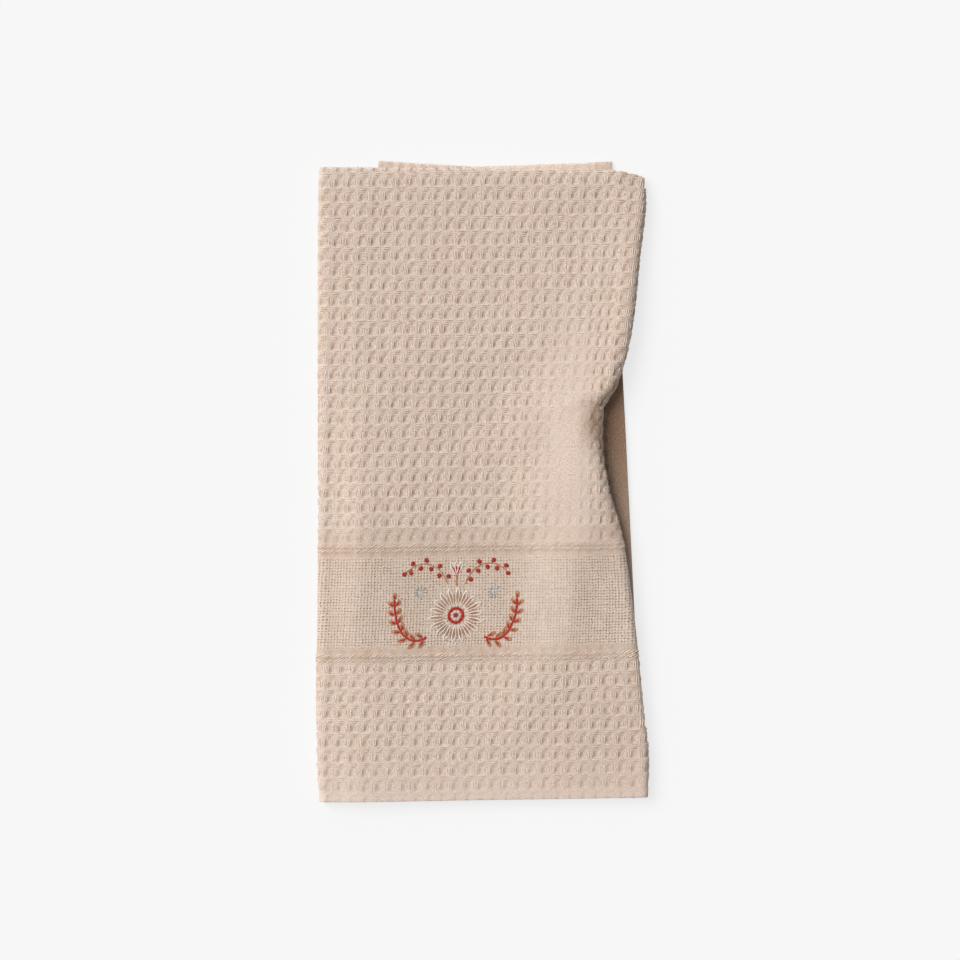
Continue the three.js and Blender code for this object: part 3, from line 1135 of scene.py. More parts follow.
@dataclass(frozen=True)
class WaffleCotton:
    """Soft matt waffle-woven cotton, with its pattern in the cloth's own places."""

    weave: WaffleWeave
    base: Colour = srgb(239, 225, 213)
    rosy: Colour = srgb(240, 223, 214)
    straw: Colour = srgb(237, 225, 210)
    # A darker tone for streaks, seams, specks and marks, also used as painted shade in the cells' pits, on
    # their upper slopes and between the plies.
    dark_tone_and_shade: Colour = srgb(205, 174, 149)
    # The dark colour of the open grid's gaps, also used as painted shade on the cords and for the grain
    # inside the painted shade.
    gap_and_shade: Colour = srgb(158, 124, 102)
    between_yarns: float = 0.19
    # Painted shade in each cell: its colour and share in the left corner, and its share on the upper slope.
    corner: Colour = srgb(178, 128, 92)
    corner_shade_share: float = 0.31
    slope_shade_share: float = 0.31
    band_tone: Colour = srgb(206, 184, 166)
    pulled: Colour = srgb(210, 170, 152)
    pale: Colour = srgb(244, 229, 216)
    fleck: Colour = srgb(198, 175, 158)
    fleck_fine: float = 2.1
    fleck_long: float = 0.8
    fleck_dark: float = 0.56
    fleck_pale: float = 0.9
    ply_shade_share: float = 0.12
    ply_pitch: float = 0.9
    ply_bump: float = 0.08
    yarn_bump: float = 0.42
    cell_bump: float = 0.55
    # Painted shade: the colour multiplied in where the shade attribute says the cloth lies in shade.
    shaded: Colour = srgb(168, 139, 106)
    yarn_across: float = 0.86
    yarn_down: float = 1.02
    shader: tuple[tuple[str, float], ...] = (
        ("Roughness", 0.92), ("Specular IOR Level", 0.22), ("Sheen Weight", 0.1), ("Sheen Roughness", 0.5),
        ("Diffuse Roughness", 0.3))

    def _start(self, name: str) -> tuple[bpy.types.Material, Spot, Signal]:
        """Begins a material with the cotton's uneven, flecked colour.

        Args:
            name: The material's name.

        Returns:
            The material, the place on the cloth in its node tree, and the colour.
        """
        material = bpy.data.materials.new(name)
        graph = ShadeGraph(material)
        for socket, value in self.shader:
            graph.shader.inputs[socket].default_value = value
        spot = Spot.of(graph)
        colour = graph.colour(spot.noise(0.03, 0.03).ramp(0.35, 0.65), self.straw, self.rosy)
        colour = graph.colour(spot.noise(0.42, 0.42, 0.0, 3.0, 0.6).ramp(0.2, 0.8), colour, self.base)
        return material, spot, self._fleck(spot, colour)

    def _fleck(self, spot: Spot, colour: Signal) -> Signal:
        """Adds the short light and dark flecks of the yarns, which lie both ways.

        Args:
            spot: The place on the cloth.
            colour: The colour so far.

        Returns:
            The flecked colour.
        """
        graph = spot.graph
        upright = spot.noise(self.fleck_fine, self.fleck_long, 60.0, 1.0)
        level = spot.noise(self.fleck_long, self.fleck_fine, 70.0, 1.0)
        fleck = (upright + level) * 0.5
        # The dark flecks are stronger in the painted shade.
        dark = fleck.ramp(0.49, 0.59) * (graph.attribute("shade") * 0.5 + self.fleck_dark)
        colour = graph.colour(dark.smaller(1.0), colour, self.fleck)
        return graph.colour(fleck.ramp(0.41, 0.49, self.fleck_pale, 0.0), colour, self.pale)

    def _paint_cell_shade(self, spot: Spot, colour: Signal) -> Signal:
        """Paints shade into the cells' left corners and onto the slopes under their upper ribs.

        Args:
            spot: The place on the cloth.
            colour: The colour so far.

        Returns:
            The colour with them.
        """
        corner, slope = self.weave.painted_cell_shade(spot)
        colour = spot.graph.colour(corner * self.corner_shade_share, colour, self.corner)
        return spot.graph.colour(slope * self.slope_shade_share, colour, self.dark_tone_and_shade)

    def _streak(self, spot: Spot, colour: Signal) -> Signal:
        """Returns the colour with long faint streaks along the warp and the weft."""
        streaks = (spot.noise(1.15, 0.09) + spot.noise(0.09, 1.0) - 1.0) * 0.5 + 0.5
        return spot.graph.colour(streaks.ramp(0.25, 0.75, 0.2, 0.0), colour, self.dark_tone_and_shade)

    def _open_grid(self, band: Band, holes: Signal, colour: Signal) -> Signal:
        """Adds the band's open grid.

        Args:
            band: The band's signals.
            holes: How open its gaps are.
            colour: The colour so far.

        Returns:
            The colour with the grid.
        """
        graph = band.spot.graph
        toned = (1 - band.closed * 0.45) * band.spot.across.ramp(148, 165, 1.0, 0.4)
        colour = graph.colour(toned * band.grid * 0.36, colour, self.band_tone)
        colour = graph.colour((band.seams() * 1.1).smaller(0.8), colour, self.dark_tone_and_shade)
        colour = graph.colour(holes, colour, self.gap_and_shade)
        return graph.colour(band.thick().ramp(0.2, 0.8) * band.grid * 0.32, colour, self.band_tone)

    def _strips(self, band: Band, marks: Signal, colour: Signal) -> Signal:
        """Adds the strips beside the band's cords, and painted shade on the cords.

        Args:
            band: The band's signals.
            marks: The faint marks in the strips.
            colour: The colour so far.

        Returns:
            The colour with the strips.
        """
        graph, quiet = band.spot.graph, band.quiet()
        colour = graph.colour((quiet * 0.2 + band.strips * 0.3) * band.even, colour, self.band_tone)
        specks = band.spot.noise(1.5, 1.1, 50.0, 2.0, 0.8)
        colour = graph.colour(specks.ramp(0.42, 0.62) * quiet * 0.4, colour, self.dark_tone_and_shade)
        colour = graph.colour(marks * (band.even * 0.6 + 0.4), colour, self.dark_tone_and_shade)
        # Painted shade along the raised cords.
        return graph.colour(band.cord * band.even * 0.30, colour, self.gap_and_shade)

    def _pull(self, spot: Spot, waffle: Signal, colour: Signal) -> Signal:
        """Adds the paler, speckled look of cells that are pulled flat, and a darker grain in the painted
        shade.

        Args:
            spot: The place on the cloth.
            waffle: Where the cloth has cells.
            colour: The colour so far.

        Returns:
            The colour with both.
        """
        graph = spot.graph
        taut = (1 - graph.attribute("slack")).larger(0.0) * waffle
        colour = graph.colour(taut * 0.48, colour, self.pale)
        pulled = spot.noise(1.9, 0.9, 17.0, 1.0).ramp(0.50, 0.61)
        colour = graph.colour(pulled * taut * 0.8, colour, self.pulled)
        grain = spot.noise(1.25, 1.25, 0.0, 2.0, 0.8).ramp(0.38, 0.62)
        # Painted shade: a darker grain where the shade attribute is.
        return graph.colour((grain * graph.attribute("shade")).smaller(0.5), colour, self.gap_and_shade)

    def _finish(self, graph: ShadeGraph, colour: Signal, normal: Signal) -> None:
        """Sets the shader's colour, with painted shade multiplied in where the cloth turns under or lies in
        a fold's shadow, and its normal.

        Args:
            graph: The material's graph.
            colour: The colour.
            normal: The normal.
        """
        shade = graph.colour(graph.attribute("shade"), colour, self.shaded, "MULTIPLY")
        graph.feed(graph.shader.inputs["Base Color"], shade)
        graph.feed(graph.shader.inputs["Normal"], normal)

    def cloth(self) -> bpy.types.Material:
        """Builds the finish of the cloth itself.

        Returns:
            The material.
        """
        material, spot, colour = self._start("waffle_cotton")
        graph = spot.graph
        band = Band(spot, self.weave)
        holes, marks = band.holes(), band.marks()
        waffle, pits = self.weave.in_waffle(spot), self.weave.pits(spot)
        relief = graph.attribute("relief")
        # Painted shade: the cells' pits are darkened.
        colour = graph.colour(pits.ramp(0.1, 1.0, 0.0, 0.3), colour, self.dark_tone_and_shade)
        colour = graph.colour(relief * waffle * self.between_yarns, colour, self.gap_and_shade)
        colour = self._paint_cell_shade(spot, self._streak(spot, colour))
        colour = self._strips(band, marks, self._open_grid(band, holes, colour))
        colour = self._pull(spot, waffle, colour)
        coarse = graph.bump(1 - pits * (1 - relief), self.cell_bump * MM)
        yarns = (spot.across / self.yarn_across).wave() * (spot.down / self.yarn_down).wave() * 0.5 + 0.5
        threads = (1 - band.beside * band.beside) * 0.5 + (1 - band.along * band.along) * 0.5 - holes * 0.5
        fine = yarns * waffle * 0.4 + threads * band.grid * 0.8 + yarns * band.strips * 0.5 - marks * 0.5
        fine = fine + spot.noise(1.9, 1.9, 0.0, 3.0, 0.6) * 0.5
        self._finish(graph, colour, graph.bump(fine, self.yarn_bump * MM, coarse))
        return material

    def yarn(self) -> bpy.types.Material:
        """Builds the finish of the yarns that float on the cloth.

        Returns:
            The material.
        """
        material, spot, colour = self._start("waffle_yarn")
        graph = spot.graph
        turns = graph.attribute("along") / (self.ply_pitch * MM) + graph.attribute("round") * 2.0
        strands = (turns.wave() + 1) * 0.5
        shade = spot.noise(0.7, 0.7, 20.0)
        own = graph.attribute("chance").ramp(0.45, 1.0, 0.0, 0.45)
        # Patchy tone, painted shade in the grooves between the plies, and each float's own tone.
        for share in (shade.ramp(0.3, 0.7, 0.2, 0.0), (1 - strands) * self.ply_shade_share, own):
            colour = graph.colour(share, colour, self.dark_tone_and_shade)
        self._finish(graph, self._paint_cell_shade(spot, colour), graph.bump(strands, self.ply_bump * MM))
        return material


class Floss(Enum):
    """The colours of the stranded cotton, each with a deeper one painted as shade between its strands."""

    BRICK = (srgb(216, 52, 30), srgb(146, 22, 14))
    TAN = (srgb(214, 156, 118), srgb(172, 114, 80))
    IVORY = (srgb(255, 249, 240), srgb(232, 218, 200))
    GREY = (srgb(196, 206, 206), srgb(112, 132, 140))


@dataclass(frozen=True)
class FlossFinish:
    """Slightly glossy stranded cotton of one colour."""

    floss: Floss
    strand: float = 0.16
    roughness: float = 0.55
    sheen: float = 0.25

    def material(self) -> bpy.types.Material:
        """Builds the finish.

        Returns:
            The material.
        """
        light, deep = self.floss.value
        material = bpy.data.materials.new("floss_" + self.floss.name.lower())
        graph = ShadeGraph(material)
        spot = graph.add("ShaderNodeTexCoord").outputs["Object"]
        round_it = graph.attribute("round")
        along = graph.attribute("along")
        strands = ((along / (self.strand * 6 * MM) + round_it * 3.0).wave() + 1) * 0.5
        patchy = graph.noise(spot, 900.0, 2.0)
        # The deeper colour is painted shade in the grooves between the strands, mixed with patchy tone.
        share = (strands * 0.5 + patchy * 0.5).ramp(0.15, 0.7)
        graph.feed(graph.shader.inputs["Base Color"], graph.colour(share, deep, light))
        graph.feed(graph.shader.inputs["Normal"], graph.bump(strands, 0.10 * MM))
        for socket, value in (("Roughness", self.roughness), ("Specular IOR Level", 0.35),
                              ("Sheen Weight", self.sheen), ("Sheen Roughness", 0.4)):
            graph.shader.inputs[socket].default_value = value
        return material


# --- The cloth ----------------------------------------------------------------------------------


def zip_edges(
    first: list[int], first_at: list[float], second: list[int], second_at: list[float]
) -> list[tuple[int, ...]]:
    """Joins two rows of vertices by a strip of triangles.

    Args:
        first: The vertices of one row.
        first_at: How far along each lies.
        second: The vertices of the other row, with fewer of them.
        second_at: How far along each lies.

    Returns:
        The triangles.
    """
    faces = []
    i = j = 0
    while i < len(first) - 1 or j < len(second) - 1:
        if j == len(second) - 1 or (i < len(first) - 1 and first_at[i + 1] <= second_at[j + 1]):
            faces.append((first[i], second[j], first[i + 1]))
            i += 1
        else:
            faces.append((first[i], second[j], second[j + 1]))
            j += 1
    return faces


def grid_faces(numbers: np.ndarray) -> np.ndarray:
    """Returns the quads of a grid of vertex numbers."""
    corners = [numbers[:-1, :-1], numbers[:-1, 1:], numbers[1:, 1:], numbers[1:, :-1]]
    return np.stack(corners, -1).reshape(-1, 4)


@dataclass
class TowelCloth:
    """The whole cloth as one closed sheet with its waffle relief. Sizes are in millimetres."""

    folds: ClothFolds
    weave: WaffleWeave
    name: str = "towel_cloth"
    depth: float = 0.74
    column_shares: tuple[float, ...] = (0.0, 0.15, 0.27, 0.36, 0.45, 0.62, 0.82)
    row_shares: tuple[float, ...] = (0.0, 0.17, 0.34, 0.60, 0.82, 0.93)
    first_column: int = -2
    last_column: int = 29
    rim_inset: float = 0.5
    rim_steps: int = 4
    rim_turn: float = 165.0
    inner_inset: float = 2.2
    inner_steps: tuple[float, float] = (3.2, 7.6)
    bend_step: float = 0.46
    flush: float = 0.001
    hem_columns: tuple[float, ...] = (2.2, 5.0, 7.6, 8.4, 9.2)
    cord_rows: tuple[float, ...] = (0.0, 0.7, 1.4, 2.1, 2.7, 3.3)
    half_row_rows: tuple[float, ...] = (200.4, 201.4, 202.8, 204.4, 205.8)

    def _columns(self) -> np.ndarray:
        """Places the mesh's columns inside its rounded rim.

        Returns:
            Their distances across the cloth, rising.
        """
        weave = self.weave
        ribs = weave.rib_at + weave.cell_width * np.arange(self.first_column, self.last_column)
        fine = (ribs[:, None] + weave.cell_width * np.array(self.column_shares)).ravel()
        hem = np.array([self.rim_inset, *self.hem_columns])
        outer = np.concatenate([weave.outer_edge + hem, np.linspace(-150, fine[0] - 5, 12)])
        inner = np.concatenate([np.linspace(fine[-1] + 3, 324, 12), weave.inner_edge - hem[::-1]])
        return np.concatenate([outer, fine, inner])

    def _rows(self) -> np.ndarray:
        """Places the mesh's rows inside its rounded rim.

        Returns:
            Their distances down the cloth, from the front hem to the back one.
        """
        weave = self.weave
        shares = np.array(self.row_shares)
        end = self.folds.half_length - self.rim_inset
        low_ribs = weave.low_first_rib + weave.low_cell_height * np.arange(weave.lower_cells + 1)
        low = (low_ribs[:, None] + weave.low_cell_height * shares).ravel()
        low = np.concatenate([low[low < end - 0.6], [end]])
        beside = np.array(self.cord_rows)
        cord = np.concatenate([-beside[:0:-1], beside])
        upper_cord, lower_cord = (line + cord for line in weave.cord_lines)
        band = np.linspace(upper_cord[-1] + 2, lower_cord[0] - 2, 18)
        ribs = weave.first_rib + weave.cell_height * np.arange(weave.upper_cells)
        upper = np.append((ribs[:, None] + weave.cell_height * shares).ravel(), weave.last_rib)
        last = -weave.cell_height + weave.first_rib
        bend = np.arange(weave.first_rib - self.bend_step, last, -self.bend_step)
        behind = (last - weave.cell_height * (np.arange(2)[:, None] + 1 - shares[::-1] * 0.999)).ravel()
        back = np.linspace(behind[-1] - 6, -end, 40)
        rows = [low, lower_cord[lower_cord < low[0] - 0.3], band, upper_cord, self.half_row_rows, upper,
                bend, behind, back]
        return np.unique(np.concatenate(rows))[::-1]

    def _outer_grid(
        self, columns: np.ndarray, rows: np.ndarray
    ) -> tuple[np.ndarray, np.ndarray, np.ndarray]:
        """Lays out the face side with its rounded rim.

        Args:
            columns: The columns inside the rim.
            rows: The rows inside the rim.

        Returns:
            Across, down and lift of each vertex, as grids.
        """
        steps = np.arange(1, self.rim_steps + 1)
        rim_column = np.concatenate([steps[::-1], np.zeros(len(columns), int), steps])
        rim_row = np.concatenate([steps[::-1], np.zeros(len(rows), int), steps])
        across = np.concatenate([np.full(self.rim_steps, columns[0]), columns,
                                 np.full(self.rim_steps, columns[-1])])[None, :]
        down = np.concatenate([np.full(self.rim_steps, rows[0]), rows,
                               np.full(self.rim_steps, rows[-1])])[:, None]
        beside, beyond = rim_column[None, :], rim_row[:, None]
        ring = np.maximum(beside, beyond)
        turn = ring * math.radians(self.rim_turn) / self.rim_steps
        share = np.minimum(beside, beyond) / np.maximum(ring, 1) * math.pi / 4
        aim = np.where(beyond >= beside, share, math.pi / 2 - share)
        out = self.rim_inset * np.sin(turn)
        side_across = np.where(across < 0, -1, 1)
        side_down = np.where(down < 0, -1, 1)
        across = across + side_across * out * np.sin(aim) * (beside > 0)
        down = down + side_down * out * np.cos(aim) * (beyond > 0)
        return across, down, self.folds.sheet / 2 * np.cos(turn)

    def build(self) -> bpy.types.Object:
        """Builds the cloth.

        Returns:
            The piece, dressed and riding on the frame.
        """
        columns, rows = self._columns(), self._rows()
        across, down, lift = self._outer_grid(columns, rows)
        across, down = np.broadcast_arrays(across, down)
        step_across, step_down = self.inner_steps
        inner_columns = self._thinned(columns, step_across, self.inner_inset)
        inner_rows = self._thinned(rows[::-1], step_down, self.inner_inset)[::-1]
        in_across, in_down = np.meshgrid(inner_columns, inner_rows)
        in_lift = np.full(in_across.shape, -self.folds.sheet / 2)

        outer_numbers = np.arange(across.size).reshape(across.shape)
        inner_numbers = across.size + np.arange(in_across.size).reshape(in_across.shape)
        flat = [np.concatenate([a.ravel(), b.ravel()]) for a, b in
                ((across, in_across), (down, in_down), (np.broadcast_to(lift, across.shape), in_lift))]
        faces = [tuple(face) for face in grid_faces(outer_numbers).tolist()]
        faces += [tuple(face[::-1]) for face in grid_faces(inner_numbers).tolist()]
        faces += self._seam(outer_numbers, inner_numbers, flat[0], flat[1])

        mesh = bpy.data.meshes.new(self.name)
        points = self.folds.place(*flat)
        mesh.from_pydata(points.tolist(), [], faces)
        fields = self.weave.fields(flat[0], flat[1])
        fields["relief"] = fields["relief"] * (flat[2] > self.folds.sheet / 2 - self.flush)
        write_floats(mesh, {"across": flat[0], "down": flat[1], **fields})
        self._lay_flat(mesh, flat[0], flat[1], across.size)
        return make_piece(self.name, mesh, self._relief_tree(), Material=WaffleCotton(self.weave).cloth(),
                          Depth=self.depth * MM)

    @staticmethod
    def _thinned(places: np.ndarray, step: float, inset: float) -> np.ndarray:
        """Picks some of the places.

        Args:
            places: Rising places.
            step: How far apart the picked ones are, at least.
            inset: How far inside the ends they stay.

        Returns:
            The picked places.
        """
        kept = [places[0] + inset]
        for place in places:
            bend = -6 < place < 9 and step > 4
            if place - kept[-1] >= (1.2 if bend else step) and place < places[-1] - inset - 0.6 * step:
                kept.append(place)
        return np.array(kept + [places[-1] - inset])

    @staticmethod
    def _seam(
        outer: np.ndarray, inner: np.ndarray, across: np.ndarray, down: np.ndarray
    ) -> list[tuple[int, ...]]:
        """Joins the last ring of the rim to the edge of the inner face, on all four sides.

        Args:
            outer: The ring's points, as a grid of their numbers.
            inner: The inner face's points, likewise.
            across: Distance across the cloth.
            down: Distance down the cloth.

        Returns:
            The faces.
        """
        faces = []
        sides = ((outer[0], inner[0], across, False), (outer[-1], inner[-1], across, True),
                 (outer[:, 0], inner[:, 0], -down, True), (outer[:, -1], inner[:, -1], -down, False))
        for ring, edge, at, turned in sides:
            strip = zip_edges(ring.tolist(), at[ring].tolist(), edge.tolist(), at[edge].tolist())
            faces += [face[::-1] for face in strip] if turned else strip
        return faces

    def _lay_flat(
        self, mesh: bpy.types.Mesh, across: np.ndarray, down: np.ndarray, outer_count: int
    ) -> None:
        """Gives the mesh a map in which each face of the cloth lies flat, beside the other.

        Args:
            mesh: The cloth's mesh.
            across: How far across the cloth each vertex is.
            down: How far down the cloth each vertex is.
            outer_count: How many of the vertices, the first ones, are on the face side and the rim.
        """
        corners = np.zeros(len(mesh.loops), np.int32)
        mesh.loops.foreach_get("vertex_index", corners)
        half = self.folds.half_length
        east, south = (across - self.weave.outer_edge) * MM, (half - down) * MM
        laid = np.stack([east, south], 1)[corners]
        width, length = (self.weave.inner_edge - self.weave.outer_edge) * MM, 2 * half * MM
        starts = np.zeros(len(mesh.polygons), np.int32)
        totals = np.zeros(len(mesh.polygons), np.int32)
        mesh.polygons.foreach_get("loop_start", starts)
        mesh.polygons.foreach_get("loop_total", totals)
        is_inner = np.maximum.reduceat(corners, starts) >= outer_count
        hidden = np.repeat(is_inner, totals)
        spot = laid / (width, length)
        spot[:, 0] = np.where(hidden, 0.68 + 0.31 * spot[:, 0], 0.01 + 0.65 * spot[:, 0])
        spot[:, 1] = 0.01 + 0.98 * spot[:, 1]
        mesh.uv_layers.new(name=BAKE_MAP).uv.foreach_set("vector", spot.astype(np.float32).ravel())

    def _relief_tree(self) -> bpy.types.NodeTree:
        """Builds the tree that sinks the cells into the face and raises the cords.

        Returns:
            The tree.
        """
        graph = ShapeGraph("waffle_relief", Depth=0.001, Cord=0.0004, Fuzz=0.00016)
        spot, relief = Spot.of(graph), graph.attribute("relief")
        sink = self.weave.pits(spot) * graph.given("Depth") * relief
        rise = 0.0
        for line in self.weave.cord_lines:
            rise = 1 - ((spot.down - line) / self.weave.cord_half).size().ramp(0.55, 1.25) + rise
        fuzz = (spot.noise(0.6, 0.6) - 0.5) * graph.given("Fuzz")
        clear = spot.across.ramp(0.0, 4.0) * (1 - spot.across.ramp(166, 178))
        lift = (rise * graph.given("Cord") * clear + fuzz) * relief - sink
        return graph.finish(graph.moved(graph.add("GeometryNodeInputNormal").outputs[0], lift))


# --- Stitches and floats ------------------------------------------------------------------------


def thread_tree(name: str, weave: WaffleWeave) -> bpy.types.NodeTree:
    """Returns a tree that makes a thread of each chain of edges, sunk with the cloth's cells.

    The points have attributes: across and down, the place on the cloth; out, the face's direction there;
    relief, how much of the weave's depth is real shape; and half_width, half the thread's width.

    Args:
        name: The tree's name.
        weave: The weave that the threads lie on.

    Returns:
        The tree.
    """
    graph = ShapeGraph(name, Sides=8, Depth=0.001)
    sink = weave.pits(Spot.of(graph)) * graph.attribute("relief") * graph.given("Depth")
    sunk = graph.moved(graph.attribute("out", "FLOAT_VECTOR"), sink * -1)
    curve = graph.add("GeometryNodeMeshToCurve", {"Mesh": sunk}).outputs[0]
    run = Signal(graph, graph.add("GeometryNodeSplineParameter").outputs["Length"])
    marked = graph.store(curve, "along", run)
    share = Signal(graph, graph.add("GeometryNodeSplineParameter").outputs["Factor"])
    ring = graph.add("GeometryNodeCurvePrimitiveCircle", {"Resolution": graph.given("Sides"), "Radius": 1.0})
    edge = graph.store(ring.outputs[0], "round", share)
    tube = graph.add("GeometryNodeCurveToMesh", {
        "Curve": marked, "Profile Curve": edge, "Scale": graph.attribute("half_width"), "Fill Caps": True})
    return graph.finish(tube.outputs[0])


@dataclass
class ThreadWork:
    """Threads on the cloth's face, gathered as paths until they are built as one piece.

    A path has a row for each of its points: across, down, lift over the face, and half the thread's
    width, all in millimetres.
    """

    folds: ClothFolds
    weave: WaffleWeave
    name: str
    depth: float
    paths: list[np.ndarray] = field(default_factory=list)
    lowest_face: float = -0.3

    def lay(self, path: Iterable[Iterable[float]]) -> None:
        """Adds a path."""
        self.paths.append(np.asarray(list(path), float))

    def float_over(self, middle: tuple[float, float], length: float, turn: float, half_width: float,
                   lift: float, dip: float = 0.4, steps: int = 4) -> None:
        """Adds a straight float that dives into the cloth at its ends.

        Args:
            middle: Its middle, across and down.
            length: Its length.
            turn: Its angle to the line across, anticlockwise, in degrees.
            half_width: Half its width.
            lift: How far its middle line is over the face.
            dip: How far its ends are under that.
            steps: How many straight parts it has.
        """
        share = np.linspace(-1, 1, steps + 1)
        east, south = math.cos(math.radians(turn)), -math.sin(math.radians(turn))
        reach = share * length / 2
        bow = share**2
        self.lay(np.stack([middle[0] + reach * east, middle[1] + reach * south, lift - dip * bow**2,
                           half_width * (1 - 0.45 * bow)], axis=1))

    def build(self, material: bpy.types.Material, sides: int) -> bpy.types.Object:
        """Makes the threads one mesh.

        Args:
            material: Their finish.
            sides: Faces round a thread.

        Returns:
            The piece.
        """
        middles = np.array([path[len(path) // 2] for path in self.paths])
        facing = self.folds.facing(middles[:, 0], middles[:, 1])[:, 2]
        shown = [path for path, up in zip(self.paths, facing) if up > self.lowest_face]
        across, down, lift, half_width = np.concatenate(shown).T
        fields = self.weave.fields(across, down)
        if self.depth:
            half_width = half_width * (0.45 + 0.55 * fields["slack"])
            lift = lift - 0.22 * np.maximum(0, 1 - fields["slack"])
        points = self.folds.place(across, down, self.folds.sheet / 2 + lift)
        ends = np.cumsum([len(path) for path in shown])
        starts = np.arange(len(points) - 1)
        starts = starts[~np.isin(starts + 1, ends)]
        mesh = bpy.data.meshes.new(self.name)
        mesh.from_pydata(points.tolist(), np.stack([starts, starts + 1], 1).tolist(), [])
        out = self.folds.facing(across, down).astype(np.float32)
        mesh.attributes.new("out", "FLOAT_VECTOR", "POINT").data.foreach_set("vector", out.ravel())
        rng = np.random.default_rng(SEED + len(shown))
        chance = np.repeat(rng.uniform(0, 1, len(shown)), [len(path) for path in shown])
        write_floats(mesh, {"across": across, "down": down, "half_width": half_width * MM,
                            "chance": chance, **fields})
        tree = thread_tree(self.name + "_tree", self.weave)
        return make_piece(self.name, mesh, tree, Material=material, Sides=sides, Depth=self.depth * MM)


@dataclass
class WovenThreads:
    """The yarns that float on the face of the cloth: round its cells and on the band's two cords."""

    folds: ClothFolds
    weave: WaffleWeave
    depth: float
    finish: bpy.types.Material
    warp_pitch: float = 0.86
    warp_shares: tuple[float, ...] = (0.40, 0.62, 0.82, 0.98, 0.84, 0.64)
    warp_first: int = -3
    weft_pitch: float = 0.98
    weft_shares: tuple[float, ...] = (0.80, 0.98, 0.84, 0.64, 0.42)
    weft_first: int = -1
    first_column: int = -1
    last_column: int = 28
    half_width: float = 0.40
    lift: float = 0.04
    cord_pitch: float = 2.15
    cord_slant: float = 28.0
    cord_length: float = 5.2
    cord_tier: float = 1.1
    cord_half_width: float = 0.42
    cord_lift: float = 0.20
    length_spread: tuple[float, float] = (0.92, 1.06)
    hem_stitch_inset: float = 1.2
    hem_pitch: float = 2.9
    hem_reach: float = 347.0
    hem_stitch: float = 2.5
    hem_half_width: float = 0.22
    cord_ends: tuple[float, float] = (-8.0, 192.0)
    cord_raised: tuple[float, float] = (2.0, 172.0)
    weft_middle: float = 0.54
    warp_middle: float = 0.58
    half_row_share: float = 0.75

    def _cells(self) -> Iterable[tuple[float, float, float]]:
        """Goes through the cells.

        Yields:
            The left side, the upper side and the height of each.
        """
        weave = self.weave
        ribs = weave.rib_downs()
        for column in range(self.first_column, self.last_column):
            left = weave.rib_at + weave.cell_width * column
            for rib in ribs[:-1]:
                low = rib > weave.band_middle
                yield left, rib, weave.low_cell_height if low else weave.cell_height

    @staticmethod
    def _steps(share: float) -> int:
        """Returns how many straight parts a float of a share of the cell has."""
        return 4 if share > 0.9 else 3 if share > 0.5 else 2

    def weft(self) -> bpy.types.Object:
        """Lays the floats on the ribs between the rows of cells.

        Returns:
            The piece.
        """
        rng = np.random.default_rng(SEED + 1)
        work = ThreadWork(self.folds, self.weave, "weft_floats", self.depth)
        for left, rib, _ in self._cells():
            for place, share in enumerate(self.weft_shares, self.weft_first):
                length = self.weave.cell_width * share * rng.uniform(*self.length_spread)
                middle = left + self.weave.cell_width * self.weft_middle + rng.uniform(-0.25, 0.25)
                beside = place * self.weft_pitch + rng.uniform(-0.08, 0.08)
                if abs(rib + beside - self.weave.cord_lines[1]) < self.weave.cord_half:
                    continue
                work.float_over((middle, rib + beside), length, rng.uniform(-3, 5),
                                self.half_width * rng.uniform(0.85, 1.08),
                                self.lift + rng.uniform(-0.08, 0.06), steps=self._steps(share))
        return work.build(self.finish, 5)

    def warp(self) -> bpy.types.Object:
        """Lays the floats on the ribs between the columns of cells.

        Returns:
            The piece.
        """
        rng = np.random.default_rng(SEED + 2)
        work = ThreadWork(self.folds, self.weave, "warp_floats", self.depth)
        for left, rib, height in self._cells():
            for place, share in enumerate(self.warp_shares, self.warp_first):
                length = height * share * rng.uniform(*self.length_spread)
                middle = rib + height * self.warp_middle + rng.uniform(-0.25, 0.25)
                beside = place * self.warp_pitch + rng.uniform(-0.08, 0.08)
                last = self.weave.last_rib - 1 < rib < self.weave.band_top
                full, turn, thick = (0.85, 74, self.half_row_share) if last else (1.0, 87, 1.0)
                work.float_over((left + beside, middle), length * full, turn + rng.uniform(-4, 4),
                                self.half_width * rng.uniform(0.82, 1.0) * thick,
                                self.lift - 0.03 + rng.uniform(-0.08, 0.06), steps=self._steps(share))
        return work.build(self.finish, 5)

    def cords(self) -> bpy.types.Object:
        """Lays the slanting floats of the two cords that edge the band.

        Returns:
            The piece.
        """
        rng = np.random.default_rng(SEED + 3)
        work = ThreadWork(self.folds, self.weave, "cord_floats", 0.0)
        for line in self.weave.cord_lines:
            for tier in (-1, 1):
                for middle in np.arange(*self.cord_ends, self.cord_pitch):
                    place = (middle + tier * 0.5 + rng.uniform(-0.3, 0.3),
                             line + tier * self.cord_tier + rng.uniform(-0.12, 0.12))
                    low, high = self.cord_raised
                    lift = self.cord_lift if low < middle < high else self.lift
                    work.float_over(place, self.cord_length * rng.uniform(0.85, 1.1),
                                    self.cord_slant + rng.uniform(-5, 5),
                                    self.cord_half_width * rng.uniform(0.9, 1.1),
                                    lift + rng.uniform(-0.06, 0.06))
        return work.build(self.finish, 6)

    def hems(self) -> bpy.types.Object:
        """Lays the line of stitches along each side hem.

        Returns:
            The piece.
        """
        rng = np.random.default_rng(SEED + 4)
        work = ThreadWork(self.folds, self.weave, "hem_stitches", 0.0)
        weave = self.weave
        inset = weave.hem - self.hem_stitch_inset
        for across in (weave.outer_edge + inset, weave.inner_edge - inset):
            for down in np.arange(-self.hem_reach, self.hem_reach, self.hem_pitch):
                if abs(down) > 4:
                    middle = (across + rng.uniform(-0.06, 0.06), down)
                    work.float_over(middle, self.hem_stitch, 90, self.hem_half_width, 0.02, 0.25)
        return work.build(self.finish, 5)


# --- Needlework ---------------------------------------------------------------------------------


